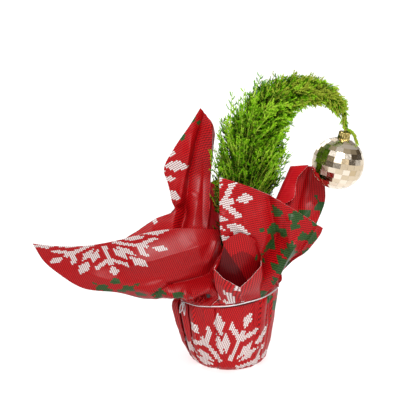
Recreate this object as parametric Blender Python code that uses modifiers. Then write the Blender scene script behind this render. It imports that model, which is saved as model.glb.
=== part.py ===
# Potted cypress: an upright young conifer whose top bends over under one hanging ball,
# in a nursery pot that stands in a cup of gathered printed film.
# Metres, +Z up. The origin is the centre of the flat underside, and the front faces -Y.

import math
import random

import bmesh
import bpy
import numpy as np
from mathutils import Matrix, Vector

MM = 0.001
GAP = 0.3 * MM

# Nursery pot and the compost in it
POT_FOOT_RADIUS = 41.0 * MM
POT_BODY_RADIUS = 53.0 * MM
POT_RIM_RADIUS = 56.5 * MM
POT_RIM_HEIGHT = 9.0 * MM
POT_WALL = 1.2 * MM
POT_FLOOR = 2.0 * MM
POT_TOP = 99.0 * MM
SOIL_TOP = 89.0 * MM
SOIL_FALL = 2.0 * MM
POT_STEPS = 24

# Film wrap: a cup round the pot, tied near its rim, with loose petals above the tie
FILM = 0.8 * MM
WRAP_FOOT_RADIUS = 41.0 * MM
TIE_RADIUS = 58.0 * MM
TIE_HEIGHT = 88.0 * MM
TIE_TILT = 7.5 * MM
CUP_STEPS = 42
CUP_COLLAR = 3.0 * MM
INNER_LAYER = 0.9 * MM
OUTER_LAYER = 2.2 * MM

# Elastic tie
TIE_CORD_RADIUS = 0.65 * MM
TIE_DROP = 1.6 * MM
BOW_AZIMUTH = 212.0
BOW_LOOP_LENGTH = 13.0 * MM
BOW_LOOP_WIDTH = 5.0 * MM

# Leader: length along the stem, lean at the foot and angle from upright at the tip
LEADER_LENGTH = 332.0 * MM
LEADER_LEAN = 9.0
LEADER_DROOP = 175.0
BEND_START = 170.0 * MM
BEND_POWER = 1.35
TRUNK_END = 200.0 * MM
ARCH_END = 270.0 * MM
LEADER_STATIONS = np.array((0.0, 8.0, 100.0, 200.0, 270.0, 332.0)) * MM
LEADER_RADII = np.array((6.6, 4.8, 3.9, 2.4, 1.5, 0.8)) * MM

# Crown: its reach from the leader at stations along it
CROWN_STATIONS = np.array((0.0, 20.0, 56.0, 110.0, 155.0, 190.0, 220.0, 245.0, 270.0, 310.0, 332.0)) * MM
CROWN_REACH = np.array((24.0, 30.0, 36.0, 41.0, 42.0, 37.0, 30.0, 20.0, 14.5, 6.5, 3.0)) * MM
LOOSE_START = 90.0 * MM
LOOSE_RUN = 50.0 * MM

# Levels of foliage lie between cones that open upwards: where each leaves the leader, and its slope
LEVEL_STATIONS = np.array((4.0, 38.0, 76.0, 114.0, 152.0, 190.0, 226.0, 258.0, 304.0)) * MM
LEVEL_SLOPES = np.array((0.5, 1.3, 1.6, 1.6, 1.6, 1.6, 1.7, 1.9, 2.0))
LEVEL_SECTORS = (2, 3, 3, 3, 2, 2, 2, 3)
LEVEL_SPRAYS = (8, 8, 8, 7, 9, 8, 9, 5)
LEVEL_TURN = 38.0
BOUGH_LEVELS = 3
BOUGH_REACH = 9.0 * MM
CORE_START = 10.5 * MM
CORE_SHARE = 0.84
CELL_MARGIN = 0.5 * MM

# Sprays: toothed blades
SPRAY_LENGTH = 33.0 * MM
SPRAY_WIDTH = 11.5 * MM
SPRAY_THICKNESS = 0.8 * MM
TWIG_RADIUS = 1.1 * MM
ROOT_SHARE = 0.38
SPRAY_TWIST = 65.0
SPRAY_OUTLINE = ((0.0, 0.0), (-0.44, 0.36), (-0.22, 0.33), (-0.32, 0.68), (-0.12, 0.64), (0.0, 1.0),
                 (0.16, 0.56), (0.42, 0.54), (0.20, 0.26))

# Hanging ball, its fluted cap and wire loop
BALL_RADIUS = 30.0 * MM
BALL_CENTRE = Vector((123.9, 0.0, 237.2)) * MM
BALL_LEAN = 10.6
BALL_SEGMENTS = 22
BALL_BANDS = 11
BALL_WALL = 1.0 * MM
NECK_RADIUS = 4.0 * MM
CAP_RADIUS = 7.0 * MM
CAP_TOP = 37.5 * MM
CAP_WALL = 0.9 * MM
LOOP_RADIUS = 3.4 * MM
LOOP_WIRE = 0.5 * MM


# Scene set-up and shared helpers

for leftover in list(bpy.data.objects):
    bpy.data.objects.remove(leftover)

PLANT = bpy.data.collections.new("potted_cypress")
PIECES = bpy.data.collections.new("pieces_to_join")
bpy.context.scene.collection.children.link(PLANT)
bpy.context.scene.collection.children.link(PIECES)


def finish(name, colour, roughness, metallic=0.0):
    """A plain material in the colour of the real piece."""
    material = bpy.data.materials.new(name)
    material.use_nodes = True
    shader = material.node_tree.nodes["Principled BSDF"]
    shader.inputs["Base Color"].default_value = (*colour, 1.0)
    shader.inputs["Roughness"].default_value = roughness
    shader.inputs["Metallic"].default_value = metallic
    return material


BARK = finish("bark", (0.16, 0.10, 0.05), 0.85)
FOLIAGE = finish("foliage", (0.16, 0.42, 0.04), 0.7)
FILM_RED = finish("printed_film", (0.62, 0.01, 0.03), 0.3)
POT_PLASTIC = finish("pot_plastic", (0.03, 0.03, 0.03), 0.5)
COMPOST = finish("compost", (0.04, 0.025, 0.015), 0.95)
CORD_SILVER = finish("silver_elastic", (0.75, 0.75, 0.75), 0.35)
MIRROR = finish("champagne_mirror", (0.80, 0.70, 0.58), 0.12, 1.0)
GOLD = finish("gold_cap", (0.80, 0.58, 0.25), 0.25, 1.0)


def place(name, data, material, collection=PLANT):
    """An object of this mesh or curve, in its material."""
    piece = bpy.data.objects.new(name, data)
    collection.objects.link(piece)
    data.materials.clear()
    data.materials.append(material)
    return piece


def applied(piece):
    """The piece's modifiers made part of its mesh; a curve becomes a mesh with welded caps."""
    bpy.context.view_layer.update()
    shaped = piece.evaluated_get(bpy.context.evaluated_depsgraph_get())
    mesh = bpy.data.meshes.new_from_object(shaped)
    shape = bmesh.new()
    shape.from_mesh(mesh)
    bmesh.ops.remove_doubles(shape, verts=shape.verts, dist=0.001 * MM)
    shape.to_mesh(mesh)
    shape.free()
    joined = bpy.data.objects.new(piece.name, mesh)
    joined.matrix_world = piece.matrix_world.copy()
    piece.users_collection[0].objects.link(joined)
    name = piece.name
    bpy.data.objects.remove(piece)
    joined.name = name
    return joined


def corners(mesh):
    """The mesh's vertices as an array of rows."""
    places = np.empty(len(mesh.vertices) * 3)
    mesh.vertices.foreach_get("co", places)
    return places.reshape(-1, 3)


def move_corners(mesh, places):
    """Puts the mesh's vertices at the rows of an array."""
    mesh.vertices.foreach_set("co", np.asarray(places, dtype=float).ravel())
    mesh.update()


def turned(name, profile, steps, material):
    """A closed profile of (radius, height), from its top down its outer side, turned round Z."""
    mesh = bpy.data.meshes.new(name)
    edges = [(i, (i + 1) % len(profile)) for i in range(len(profile))]
    if profile[0][0] == 0.0:
        edges.pop()
    mesh.from_pydata([(radius, 0.0, height) for radius, height in profile], edges, [])
    piece = place(name, mesh, material)
    screw = piece.modifiers.new("turn", "SCREW")
    screw.steps = steps
    screw.render_steps = steps
    screw.use_merge_vertices = True
    screw.merge_threshold = 0.01 * MM
    return applied(piece)


def rod(name, points, radii, sides, material, collection=PLANT, closed=False):
    """A round rod through the points, with its own radius at each, of 4, 6, 8 or 10 sides."""
    curve = bpy.data.curves.new(name, "CURVE")
    curve.dimensions = "3D"
    curve.bevel_depth = 1.0
    curve.bevel_resolution = (sides - 4) // 2
    curve.use_fill_caps = not closed
    spline = curve.splines.new("POLY")
    spline.points.add(len(points) - 1)
    spline.use_cyclic_u = closed
    for knot, point, radius in zip(spline.points, points, radii):
        knot.co = (*point, 1.0)
        knot.radius = radius
    return place(name, curve, material, collection)


def tie_height(azimuth):
    """The tie runs round the pot a little higher on the +X side."""
    return TIE_HEIGHT + TIE_TILT * np.cos(azimuth)


# Leader

def leader_course():
    """Stations along the leader with their X, Z and angle from upright: it leans from its foot,
    and past the start of the bend the angle grows as a power of the length."""
    step = 0.5 * MM
    station = np.arange(0.0, LEADER_LENGTH + step / 2, step)
    past = np.clip((station - BEND_START) / (LEADER_LENGTH - BEND_START), 0.0, None)
    angle = np.radians(LEADER_LEAN + (LEADER_DROOP - LEADER_LEAN) * past ** BEND_POWER)
    x = np.concatenate(([0.0], np.cumsum(np.sin(angle) * step)[:-1]))
    z = np.concatenate(([0.0], np.cumsum(np.cos(angle) * step)[:-1])) + SOIL_TOP + GAP
    return station, x, z, angle


COURSE, COURSE_X, COURSE_Z, COURSE_ANGLE = leader_course()


def leader_radius(station):
    return np.interp(station, LEADER_STATIONS, LEADER_RADII)


def crown_reach(station):
    return np.interp(station, CROWN_STATIONS, CROWN_REACH)


def crown_point(station, radius, turn):
    """The place at a radius from the leader, turned round it from its outer side to the front."""
    angle = np.interp(station, COURSE, COURSE_ANGLE)
    outer = radius * np.cos(turn)
    x = np.interp(station, COURSE, COURSE_X) - outer * np.cos(angle)
    y = -radius * np.sin(turn)
    z = np.interp(station, COURSE, COURSE_Z) + outer * np.sin(angle)
    return np.stack(np.broadcast_arrays(x, y, z), axis=-1)


def crown_coordinates(places):
    """The station, radius and turn of each place, from the nearest point of the leader."""
    away_x = places[:, 0:1] - COURSE_X
    away_z = places[:, 2:3] - COURSE_Z
    nearest = np.argmin(away_x ** 2 + away_z ** 2, axis=1)
    rows = np.arange(len(places))
    angle = COURSE_ANGLE[nearest]
    outer = away_z[rows, nearest] * np.sin(angle) - away_x[rows, nearest] * np.cos(angle)
    front = -places[:, 1]
    return COURSE[nearest], np.hypot(outer, front), np.arctan2(front, outer)


def leader_run(start, end, count):
    """Points and radii along the leader between two stations, whose end cuts are square to it."""
    stations = np.linspace(start, end, count)
    stations = np.sort(np.append(stations, (start + 1.0 * MM, end - 1.0 * MM)))
    return crown_point(stations, 0.0, 0.0), leader_radius(stations)


def make_leader():
    """The trunk from its flat cut at the compost, the arch over the bend and the drooping tip."""
    points, radii = leader_run(4.0 * MM, TRUNK_END, 13)
    foot = [(0.0, 0.0, COURSE_Z[0]), (0.0, 0.0, COURSE_Z[0] + 1.5 * MM)]
    foot_radii = [LEADER_RADII[0], LEADER_RADII[0] * 0.93]
    rod("trunk", foot + list(points), foot_radii + list(radii), 10, BARK)
    points, radii = leader_run(TRUNK_END + 1.5 * GAP, ARCH_END, 9)
    rod("leader_arch", points, radii, 8, BARK)
    points, radii = leader_run(ARCH_END + 1.5 * GAP, LEADER_LENGTH - 14.0 * MM, 8)
    hook = [ball_place(-2.8, 0.0, 46.0), ball_place(-1.2, 0.0, 42.2), ball_place(2.4, 1.0, 40.4),
            ball_place(7.4, 3.0, 38.4), ball_place(11.4, 6.0, 33.6), ball_place(14.6, 8.6, 28.4)]
    hook_radii = np.linspace(1.0, 0.5, len(hook)) * MM
    rod("leader_tip", list(points) + hook, list(radii) + list(hook_radii), 6, BARK)


# Ball

def ball_turn():
    return Matrix.Rotation(math.radians(BALL_LEAN), 4, "Y")


def ball_place(out, front, up):
    """A place given in millimetres along the ball's own leaning axes."""
    return BALL_CENTRE + ball_turn() @ Vector((out * MM, -front * MM, up * MM))


def ball_arc(radius, bands):
    """Profile points from the neck's edge down to the lower pole."""
    angles = np.linspace(math.asin(NECK_RADIUS / radius), math.pi, bands + 1)
    points = [(radius * math.sin(angle), radius * math.cos(angle)) for angle in angles[:-1]]
    return points + [(0.0, -radius)]


def make_ball():
    """The faceted hollow ball, its cap over the neck, and the loop that it hangs by."""
    pose = Matrix.Translation(BALL_CENTRE) @ ball_turn()
    outer = ball_arc(BALL_RADIUS, BALL_BANDS)
    inner = ball_arc(BALL_RADIUS - BALL_WALL, BALL_BANDS // 2)
    ball = turned("bauble", outer + inner[::-1], BALL_SEGMENTS, MIRROR)
    ball.matrix_world = pose
    ball.data.shade_flat()
    rim = math.sqrt(BALL_RADIUS ** 2 - CAP_RADIUS ** 2) + GAP
    pole = BALL_RADIUS + GAP
    profile = ((0.0, CAP_TOP), (CAP_RADIUS - CAP_WALL, CAP_TOP), (CAP_RADIUS, CAP_TOP - CAP_WALL),
               (CAP_RADIUS, rim), (CAP_RADIUS - CAP_WALL, rim), (CAP_RADIUS / 2, (rim + pole) / 2 + 0.2 * MM),
               (0.0, pole))
    turned("bauble_cap", profile, 16, GOLD).matrix_world = pose
    shoulder = CAP_TOP + GAP + LOOP_WIRE
    turns = np.linspace(math.radians(-52), math.radians(232), 11)
    centre = shoulder + LOOP_RADIUS * math.sin(math.radians(52))
    arc = [(0.0, LOOP_RADIUS * math.cos(turn), centre + LOOP_RADIUS * math.sin(turn)) for turn in turns]
    loop = rod("bauble_loop", arc, [LOOP_WIRE] * len(arc), 6, GOLD, closed=True)
    loop.matrix_world = pose


# Crown

def spray_blade():
    """A flat toothed blade of unit length and width, as a thin plate."""
    curve = bpy.data.curves.new("spray", "CURVE")
    curve.dimensions = "2D"
    curve.fill_mode = "BOTH"
    curve.extrude = 0.5
    spline = curve.splines.new("POLY")
    spline.points.add(len(SPRAY_OUTLINE) - 1)
    spline.use_cyclic_u = True
    for knot, (across, along) in zip(spline.points, SPRAY_OUTLINE):
        knot.co = (across, along, 0.0, 1.0)
    blade = applied(place("spray", curve, FOLIAGE, PIECES))
    mesh = blade.data
    bpy.data.objects.remove(blade)
    return mesh


SPRAY = spray_blade()


class Cell:
    """The space of one mass: between two cones, in one sector, from the leader to the crown's reach."""

    def __init__(self, level, sector):
        self.sectors = LEVEL_SECTORS[level]
        self.middle = 2.0 * math.pi * (sector + 0.5) / self.sectors + math.radians(LEVEL_TURN * level)
        self.half = math.pi / self.sectors
        self.low, self.high = LEVEL_STATIONS[level], LEVEL_STATIONS[level + 1]
        self.low_slope, self.high_slope = LEVEL_SLOPES[level], LEVEL_SLOPES[level + 1]
        self.has_bough = level < BOUGH_LEVELS

    def station(self, share, radius):
        """The station at a share of the way from the lower cone to the upper one."""
        low = self.low + self.low_slope * radius
        high = self.high + self.high_slope * radius
        return low + share * (high - low)

    def point(self, share, reach, across):
        """A place by shares: between the cones, of the crown's reach, and across the sector."""
        radius = np.full(np.shape(reach), CROWN_REACH.min())
        for _ in range(12):
            radius = 0.5 * radius + 0.5 * reach * crown_reach(self.station(share, radius))
        turn = self.middle + across * self.half
        return crown_point(self.station(share, radius), radius, turn)

    def inside(self, places, margin):
        """Whether every place keeps a margin to the neighbouring cells and to the leader."""
        station, radius, turn = crown_coordinates(places)
        over = (station - self.station(0.0, radius)) / math.hypot(1.0, self.low_slope)
        under = (self.station(1.0, radius) - station) / math.hypot(1.0, self.high_slope)
        swing = np.abs((turn - self.middle + math.pi) % (2.0 * math.pi) - math.pi)
        beside = radius * np.sin(np.clip(self.half - swing, -math.pi / 2, math.pi / 2))
        off_leader = radius - leader_radius(station)
        loose = np.clip((station - LOOSE_START) / LOOSE_RUN, 0.0, 1.0)
        outer = 1.05 + loose * (0.11 + 0.14 * np.clip(np.cos(turn), 0.0, 1.0) ** 3)
        within = outer * crown_reach(station) + 1.5 * MM - radius
        room = np.minimum.reduce([over, under, beside, off_leader, within])
        return bool(room.min() >= margin)


def core_of(cell):
    """A rounded block that fills the inner share of the cell."""
    shape = bmesh.new()
    bmesh.ops.create_icosphere(shape, subdivisions=2, radius=1.0)
    mesh = bpy.data.meshes.new("core")
    shape.to_mesh(mesh)
    shape.free()
    ball = corners(mesh)
    block = ball / np.abs(ball).max(axis=1, keepdims=True) ** 0.7
    start = CORE_START if cell.has_bough else 0.0
    share = 0.5 + 0.42 * block[:, 0]
    outer = CORE_SHARE * crown_reach(cell.station(0.5, 0.6 * crown_reach(cell.high)))
    radius = np.full(len(block), outer)
    for _ in range(12):
        station = cell.station(share, radius)
        inner = np.maximum(start, leader_radius(station) + 1.0 * MM)
        outer = np.maximum(CORE_SHARE * crown_reach(station), inner + 2.5 * MM)
        radius = 0.5 * radius + 0.5 * (inner + (0.5 + 0.5 * block[:, 1]) * (outer - inner))
    side_room = np.arcsin(np.minimum(1.2 * MM / radius, 0.9))
    turn = cell.middle + block[:, 2] * (cell.half - side_room) * 0.94
    move_corners(mesh, crown_point(cell.station(share, radius), radius, turn))
    return place("core", mesh, FOLIAGE, PIECES)


def stem_start(cell):
    """Where a mass's stem begins: at its bough's tip, or beside the leader."""
    radius = BOUGH_REACH
    if not cell.has_bough:
        radius = leader_radius(cell.station(0.5, 4.0 * MM)) + GAP + 1.1 * MM
    return radius


def stem_line(cell, start, end, count):
    """Points up the middle of the cell between two radii."""
    radius = np.linspace(start, end, count)
    return crown_point(cell.station(0.5, radius), radius, cell.middle)


def spray_at(root, heading, facing, length, width):
    """A blade's vertices, from its root along its heading, curling up as it goes."""
    across = heading.cross(facing).normalized()
    facing = across.cross(heading).normalized()
    flat = corners(SPRAY)
    along = flat[:, 1:2] * length
    places = np.array(root) + along * np.array(heading)
    places = places + flat[:, 0:1] * width * np.array(across)
    places = places + flat[:, 2:3] * SPRAY_THICKNESS * np.array(facing)
    curl = 0.10 * flat[:, 1:2] ** 2 * length
    return places - curl * np.array(facing)


def try_spray(cell, draw, share, across, reach):
    """One spray with its twig, or nothing where it would leave the cell."""
    site = Vector(cell.point(share, reach, across))
    below = Vector(cell.point(share, reach * 0.62, across * 0.72))
    spine = Vector(cell.point(share, reach * 0.62, 0.0))
    heading = (site - below).normalized()
    station, radius, turn = crown_coordinates(np.array(site)[None])
    axis = Vector(crown_point(station[0], 0.0, 0.0))
    outward = (site - axis).normalized()
    facing = (outward - outward.dot(heading) * heading).normalized()
    twist = Matrix.Rotation(math.radians(draw.uniform(-SPRAY_TWIST, SPRAY_TWIST)), 3, heading)
    facing = twist @ facing
    size = min(1.0, 0.45 + 0.55 * crown_reach(station[0]) / CROWN_REACH.max())
    for shrink in (1.0, 0.85, 0.7, 0.5):
        length = SPRAY_LENGTH * size * shrink * draw.uniform(0.85, 1.1)
        width = SPRAY_WIDTH * size * draw.uniform(0.85, 1.1)
        root = site - heading * length * ROOT_SHARE
        places = spray_at(root, heading, facing, length, width)
        if cell.inside(places, CELL_MARGIN):
            return places, (spine, root + heading * length * 0.1)
    return None


def add_twig(start, end, collection):
    """A three-sided twig that thins from its start to its end."""
    run = Vector(end) - Vector(start)
    shape = bmesh.new()
    bmesh.ops.create_cone(shape, cap_ends=True, segments=3, radius1=TWIG_RADIUS, radius2=TWIG_RADIUS / 2,
                          depth=run.length)
    turn = run.to_track_quat("Z", "Y").to_matrix().to_4x4()
    bmesh.ops.transform(shape, matrix=Matrix.Translation(Vector(start) + run / 2) @ turn, verts=shape.verts)
    mesh = bpy.data.meshes.new("twig")
    shape.to_mesh(mesh)
    shape.free()
    place("twig", mesh, FOLIAGE, collection)


def joined_mass(name, core, parts):
    """One solid from the core and everything that stands on it; loose scraps are dropped."""
    for solver in ("EXACT", "MANIFOLD"):
        union = core.modifiers.new("union", "BOOLEAN")
        union.operation = "UNION"
        union.operand_type = "COLLECTION"
        union.collection = parts
        union.solver = solver
        bpy.context.view_layer.update()
        shaped = core.evaluated_get(bpy.context.evaluated_depsgraph_get())
        mesh = bpy.data.meshes.new_from_object(shaped)
        shape = bmesh.new()
        shape.from_mesh(mesh)
        keep_largest(shape)
        bmesh.ops.dissolve_limit(shape, angle_limit=math.radians(3.0), verts=shape.verts, edges=shape.edges)
        bmesh.ops.triangulate(shape, faces=shape.faces)
        whole = all(edge.is_manifold for edge in shape.edges) and len(shape.faces) > 0
        shape.to_mesh(mesh)
        shape.free()
        core.modifiers.clear()
        if whole:
            break
    for piece in list(parts.objects):
        bpy.data.objects.remove(piece)
    bpy.data.objects.remove(core)
    return place(name, mesh, FOLIAGE)


def keep_largest(shape):
    """Deletes all but the largest connected body."""
    unseen = set(shape.verts)
    bodies = []
    while unseen:
        body = set()
        front = [unseen.pop()]
        while front:
            vert = front.pop()
            body.add(vert)
            for edge in vert.link_edges:
                other = edge.other_vert(vert)
                if other in unseen:
                    unseen.remove(other)
                    front.append(other)
        bodies.append(body)
    bodies.sort(key=len)
    for body in bodies[:-1]:
        bmesh.ops.delete(shape, geom=list(body), context="VERTS")


def make_mass(level, sector):
    """One mass: a stem, a smaller core round it, and twigs that each end in a spray."""
    cell = Cell(level, sector)
    draw = random.Random(100 * level + sector)
    core = core_of(cell)
    parts = bpy.data.collections.new("parts")
    bpy.context.scene.collection.children.link(parts)
    start = stem_start(cell)
    reach = 0.6 * crown_reach(cell.station(0.5, 0.6 * crown_reach(cell.high)))
    line = stem_line(cell, start, max(reach, start + 4.0 * MM), 4)
    thick = 1.1 * MM if level < 5 else 0.8 * MM
    applied(rod("stem", line, (thick, 1.0 * MM, 0.9 * MM, 0.7 * MM), 6, FOLIAGE, parts))
    count = LEVEL_SPRAYS[level]
    for index in range(count):
        for _ in range(6):
            across = (2.0 * (index + 0.5) / count - 1.0) * 0.86 + draw.uniform(-0.06, 0.06)
            share = (0.30, 0.68, 0.48)[index % 3] + draw.uniform(-0.08, 0.08)
            reach = draw.uniform(0.78, 0.92)
            grown = try_spray(cell, draw, share, across, reach)
            if grown is None:
                continue
            places, twig = grown
            mesh = SPRAY.copy()
            move_corners(mesh, places)
            place("spray", mesh, FOLIAGE, parts)
            add_twig(*twig, parts)
            break
    joined_mass("foliage_%d_%d" % (level + 1, sector + 1), core, parts)
    bpy.data.collections.remove(parts)
    if cell.has_bough:
        radius = leader_radius(cell.station(0.5, 5.0 * MM)) + GAP + 1.6 * MM
        slant = math.hypot(1.0, 0.5 * (cell.low_slope + cell.high_slope))
        line = stem_line(cell, radius, BOUGH_REACH - GAP / slant, 3)
        rod("bough_%d_%d" % (level + 1, sector + 1), line, (1.8 * MM, 1.4 * MM, 1.1 * MM), 8, BARK)


def make_crown():
    for level, sectors in enumerate(LEVEL_SECTORS):
        for sector in range(sectors):
            make_mass(level, sector)


# Pot

def make_pot():
    """A tapering nursery pot with a stepped rim, and the compost that fills it."""
    foot = FILM + GAP
    step = POT_TOP - POT_RIM_HEIGHT
    taper = (POT_BODY_RADIUS - POT_FOOT_RADIUS) / (step - foot)

    def body(height):
        return POT_FOOT_RADIUS + taper * (height - foot)

    floor = foot + POT_FLOOR
    profile = ((POT_RIM_RADIUS, POT_TOP), (POT_RIM_RADIUS, step), (POT_BODY_RADIUS, step),
               (POT_FOOT_RADIUS, foot), (0.0, foot), (0.0, floor), (body(floor) - POT_WALL, floor),
               (body(step) - POT_WALL, step + POT_WALL), (POT_RIM_RADIUS - POT_WALL, step + POT_WALL),
               (POT_RIM_RADIUS - POT_WALL, POT_TOP))
    turned("pot", profile, POT_STEPS, POT_PLASTIC)
    base = floor + GAP
    edge = SOIL_TOP - SOIL_FALL
    profile = ((0.0, SOIL_TOP), (14.0 * MM, SOIL_TOP), (body(edge) - POT_WALL - GAP, edge),
               (body(base) - POT_WALL - GAP, base), (0.0, base))
    turned("compost", profile, POT_STEPS, COMPOST)


# Film wrap

# Pleats of the cup: azimuth, half width in degrees, and how far each stands out
PLEATS = ((188.0, 9.0, 15.0 * MM), (207.0, 6.0, 7.0 * MM), (222.0, 6.0, 3.5 * MM), (164.0, 9.0, 6.0 * MM),
          (138.0, 8.0, 4.0 * MM), (108.0, 10.0, 6.0 * MM), (80.0, 8.0, 3.5 * MM), (48.0, 10.0, 5.0 * MM),
          (14.0, 9.0, 2.0 * MM), (340.0, 8.0, 2.5 * MM), (312.0, 7.0, 2.0 * MM), (272.0, 9.0, 1.2 * MM))


def cup_fold(azimuth, height):
    """How far the cup stands out of its turned form: folds that widen from the tie and fade to the foot."""
    free = TIE_HEIGHT - CUP_COLLAR
    share = np.clip((free - height) / free, 0.0, 1.0)
    fade = (1.0 - np.exp(-share / 0.06)) * (1.0 - share)
    total = np.zeros_like(azimuth)
    for centre, half_width, depth in PLEATS:
        swing = (np.degrees(azimuth) - centre + 180.0) % 360.0 - 180.0
        total = total + depth * np.exp(-(swing / half_width) ** 2)
    return total * fade


def make_cup():
    """The cup of film round the pot: turned, then folded outwards and tilted at the tie."""
    collar = (57.9 * MM, TIE_HEIGHT - CUP_COLLAR)
    outer = ((TIE_RADIUS, TIE_HEIGHT), collar, (56.8 * MM, 76.0 * MM), (54.4 * MM, 54.0 * MM), (50.4 * MM, 24.0 * MM),
             (45.6 * MM, 5.0 * MM), (WRAP_FOOT_RADIUS, 0.0))
    inner = [(radius - FILM, height) for radius, height in outer[:-1]]
    inner.append((WRAP_FOOT_RADIUS, FILM))
    profile = outer + ((0.0, 0.0), (0.0, FILM)) + tuple(reversed(inner))
    cup = turned("wrap_cup", profile, CUP_STEPS, FILM_RED)
    places = corners(cup.data)
    azimuth = np.arctan2(places[:, 1], places[:, 0])
    radius = np.hypot(places[:, 0], places[:, 1])
    radius = radius + np.where(radius > WRAP_FOOT_RADIUS - FILM, cup_fold(azimuth, places[:, 2]), 0.0)
    height = places[:, 2] * tie_height(azimuth) / TIE_HEIGHT
    height = np.where(places[:, 2] > 3.0 * MM, height, places[:, 2])
    move_corners(cup.data, np.stack((radius * np.cos(azimuth), radius * np.sin(azimuth), height), axis=1))


# Petals of film above the tie. The base gives the azimuths that it spans on the tie's ring,
# whether it lies in the outer layer and how often its cage is halved; each row then gives, in
# millimetres, its two ends and the way that its middle bellies.
PETALS = {
    "wrap_wing": ((198.0, 250.0, True, 2), (
        ((-92, -44, 90), (-16, -62, 112), (0, -6, 0)),
        ((-150, -62, 108), (-14, -56, 140), (0, -6, 2)),
        ((-218, -60, 160), (-20, -42, 170), (0, -14, 5)))),
    "wrap_front": ((244.0, 341.0, False, 2), (
        ((-4, -62, 128), (68, -30, 122), (5, -8, 0)),
        ((-9, -64, 184), (84, -54, 150), (2, -8, 0)),
        ((-12, -60, 236), (101, -70, 181), (0, -3, 4)))),
    "wrap_tall": ((186.0, 234.0, False, 2), (
        ((-104, -10, 142), (-46, -38, 110), (-4, -2, 0)),
        ((-56, 0, 178), (-20, 17, 177), (-4, 0, 0)),
        ((-84, 5, 226), (-20, 24, 226), (-6, -6, 0)),
        ((-52, 11, 276), (-11, 22, 268), (-4, -4, 0)),
        ((-33, 14, 301), (-28, 15, 300), (0, 0, 0)))),
    "wrap_rolled": ((344.0, 382.0, False, 2), (
        ((54, 2, 140), (90, 14, 134), (4, -6, 0)),
        ((54, 30, 182), (115, 30, 178), (6, -12, 0)),
        ((70, 44, 224), (115, 40, 224), (0, -8, 3)))),
    "wrap_back": ((26.0, 100.0, False, 1), (
        ((82, 34, 122), (-8, 80, 132), (4, 8, 0)),
        ((66, 66, 164), (-12, 88, 172), (3, 8, 0)),
        ((8, 92, 198), (-4, 92, 198), (0, 0, 0)))),
    "wrap_left": ((104.0, 182.0, False, 1), (
        ((-16, 80, 122), (-82, 10, 116), (-5, 5, 0)),
        ((-26, 86, 150), (-84, 38, 144), (-5, 5, 0)),
        ((-52, 78, 172), (-60, 72, 170), (0, 0, 0)))),
    "wrap_pocket": ((253.0, 288.0, True, 1), (
        ((-17, -72, 112), (30, -70, 116), (0, -9, -6)),
        ((-20, -76, 136), (33, -74, 147), (0, -14, -26)))),
}
PETAL_COLUMNS = 4


def petal_cage(base, rows):
    """The coarse cage of a petal, row by row from the tie to its free edge. The inner points of the
    base lie outside the ring, so that the smoothed edge runs round it."""
    start, end, outside, _ = base
    radius = TIE_RADIUS + (OUTER_LAYER if outside else INNER_LAYER)
    shares = np.linspace(0.0, 1.0, PETAL_COLUMNS)
    azimuth = np.radians(start + (end - start) * shares)
    turn = math.cos(azimuth[1] - azimuth[0])
    radius = np.where((shares > 0.0) & (shares < 1.0), radius * (6.0 - turn) / (4.0 + turn), radius)
    height = tie_height(azimuth) + (0.5 * MM if outside else GAP)
    cage = [np.stack((radius * np.cos(azimuth), radius * np.sin(azimuth), height), axis=1)]
    for left, right, belly in rows:
        row = np.array(left) + (np.array(right) - np.array(left)) * shares[:, None]
        cage.append((row + np.sin(math.pi * shares)[:, None] * np.array(belly)) * MM)
    return np.array(cage)


def make_petal(name, base, rows):
    """A petal: its cage smoothed, then given the film's thickness on its inner side."""
    cage = petal_cage(base, rows)
    count = len(cage)
    faces = []
    for row in range(count - 1):
        for column in range(PETAL_COLUMNS - 1):
            first = row * PETAL_COLUMNS + column
            faces.append((first, first + 1, first + 1 + PETAL_COLUMNS, first + PETAL_COLUMNS))
    mesh = bpy.data.meshes.new(name)
    mesh.from_pydata(cage.reshape(-1, 3).tolist(), [], faces)
    petal = place(name, mesh, FILM_RED)
    smooth = petal.modifiers.new("smooth", "SUBSURF")
    smooth.levels = base[-1]
    smooth.render_levels = base[-1]
    smooth.boundary_smooth = "PRESERVE_CORNERS"
    wall = petal.modifiers.new("film", "SOLIDIFY")
    wall.thickness = FILM
    wall.offset = -1.0
    mesh.shade_smooth()


def make_wrap():
    make_cup()
    for name, (base, rows) in PETALS.items():
        make_petal(name, base, rows)


# Tie

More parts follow.
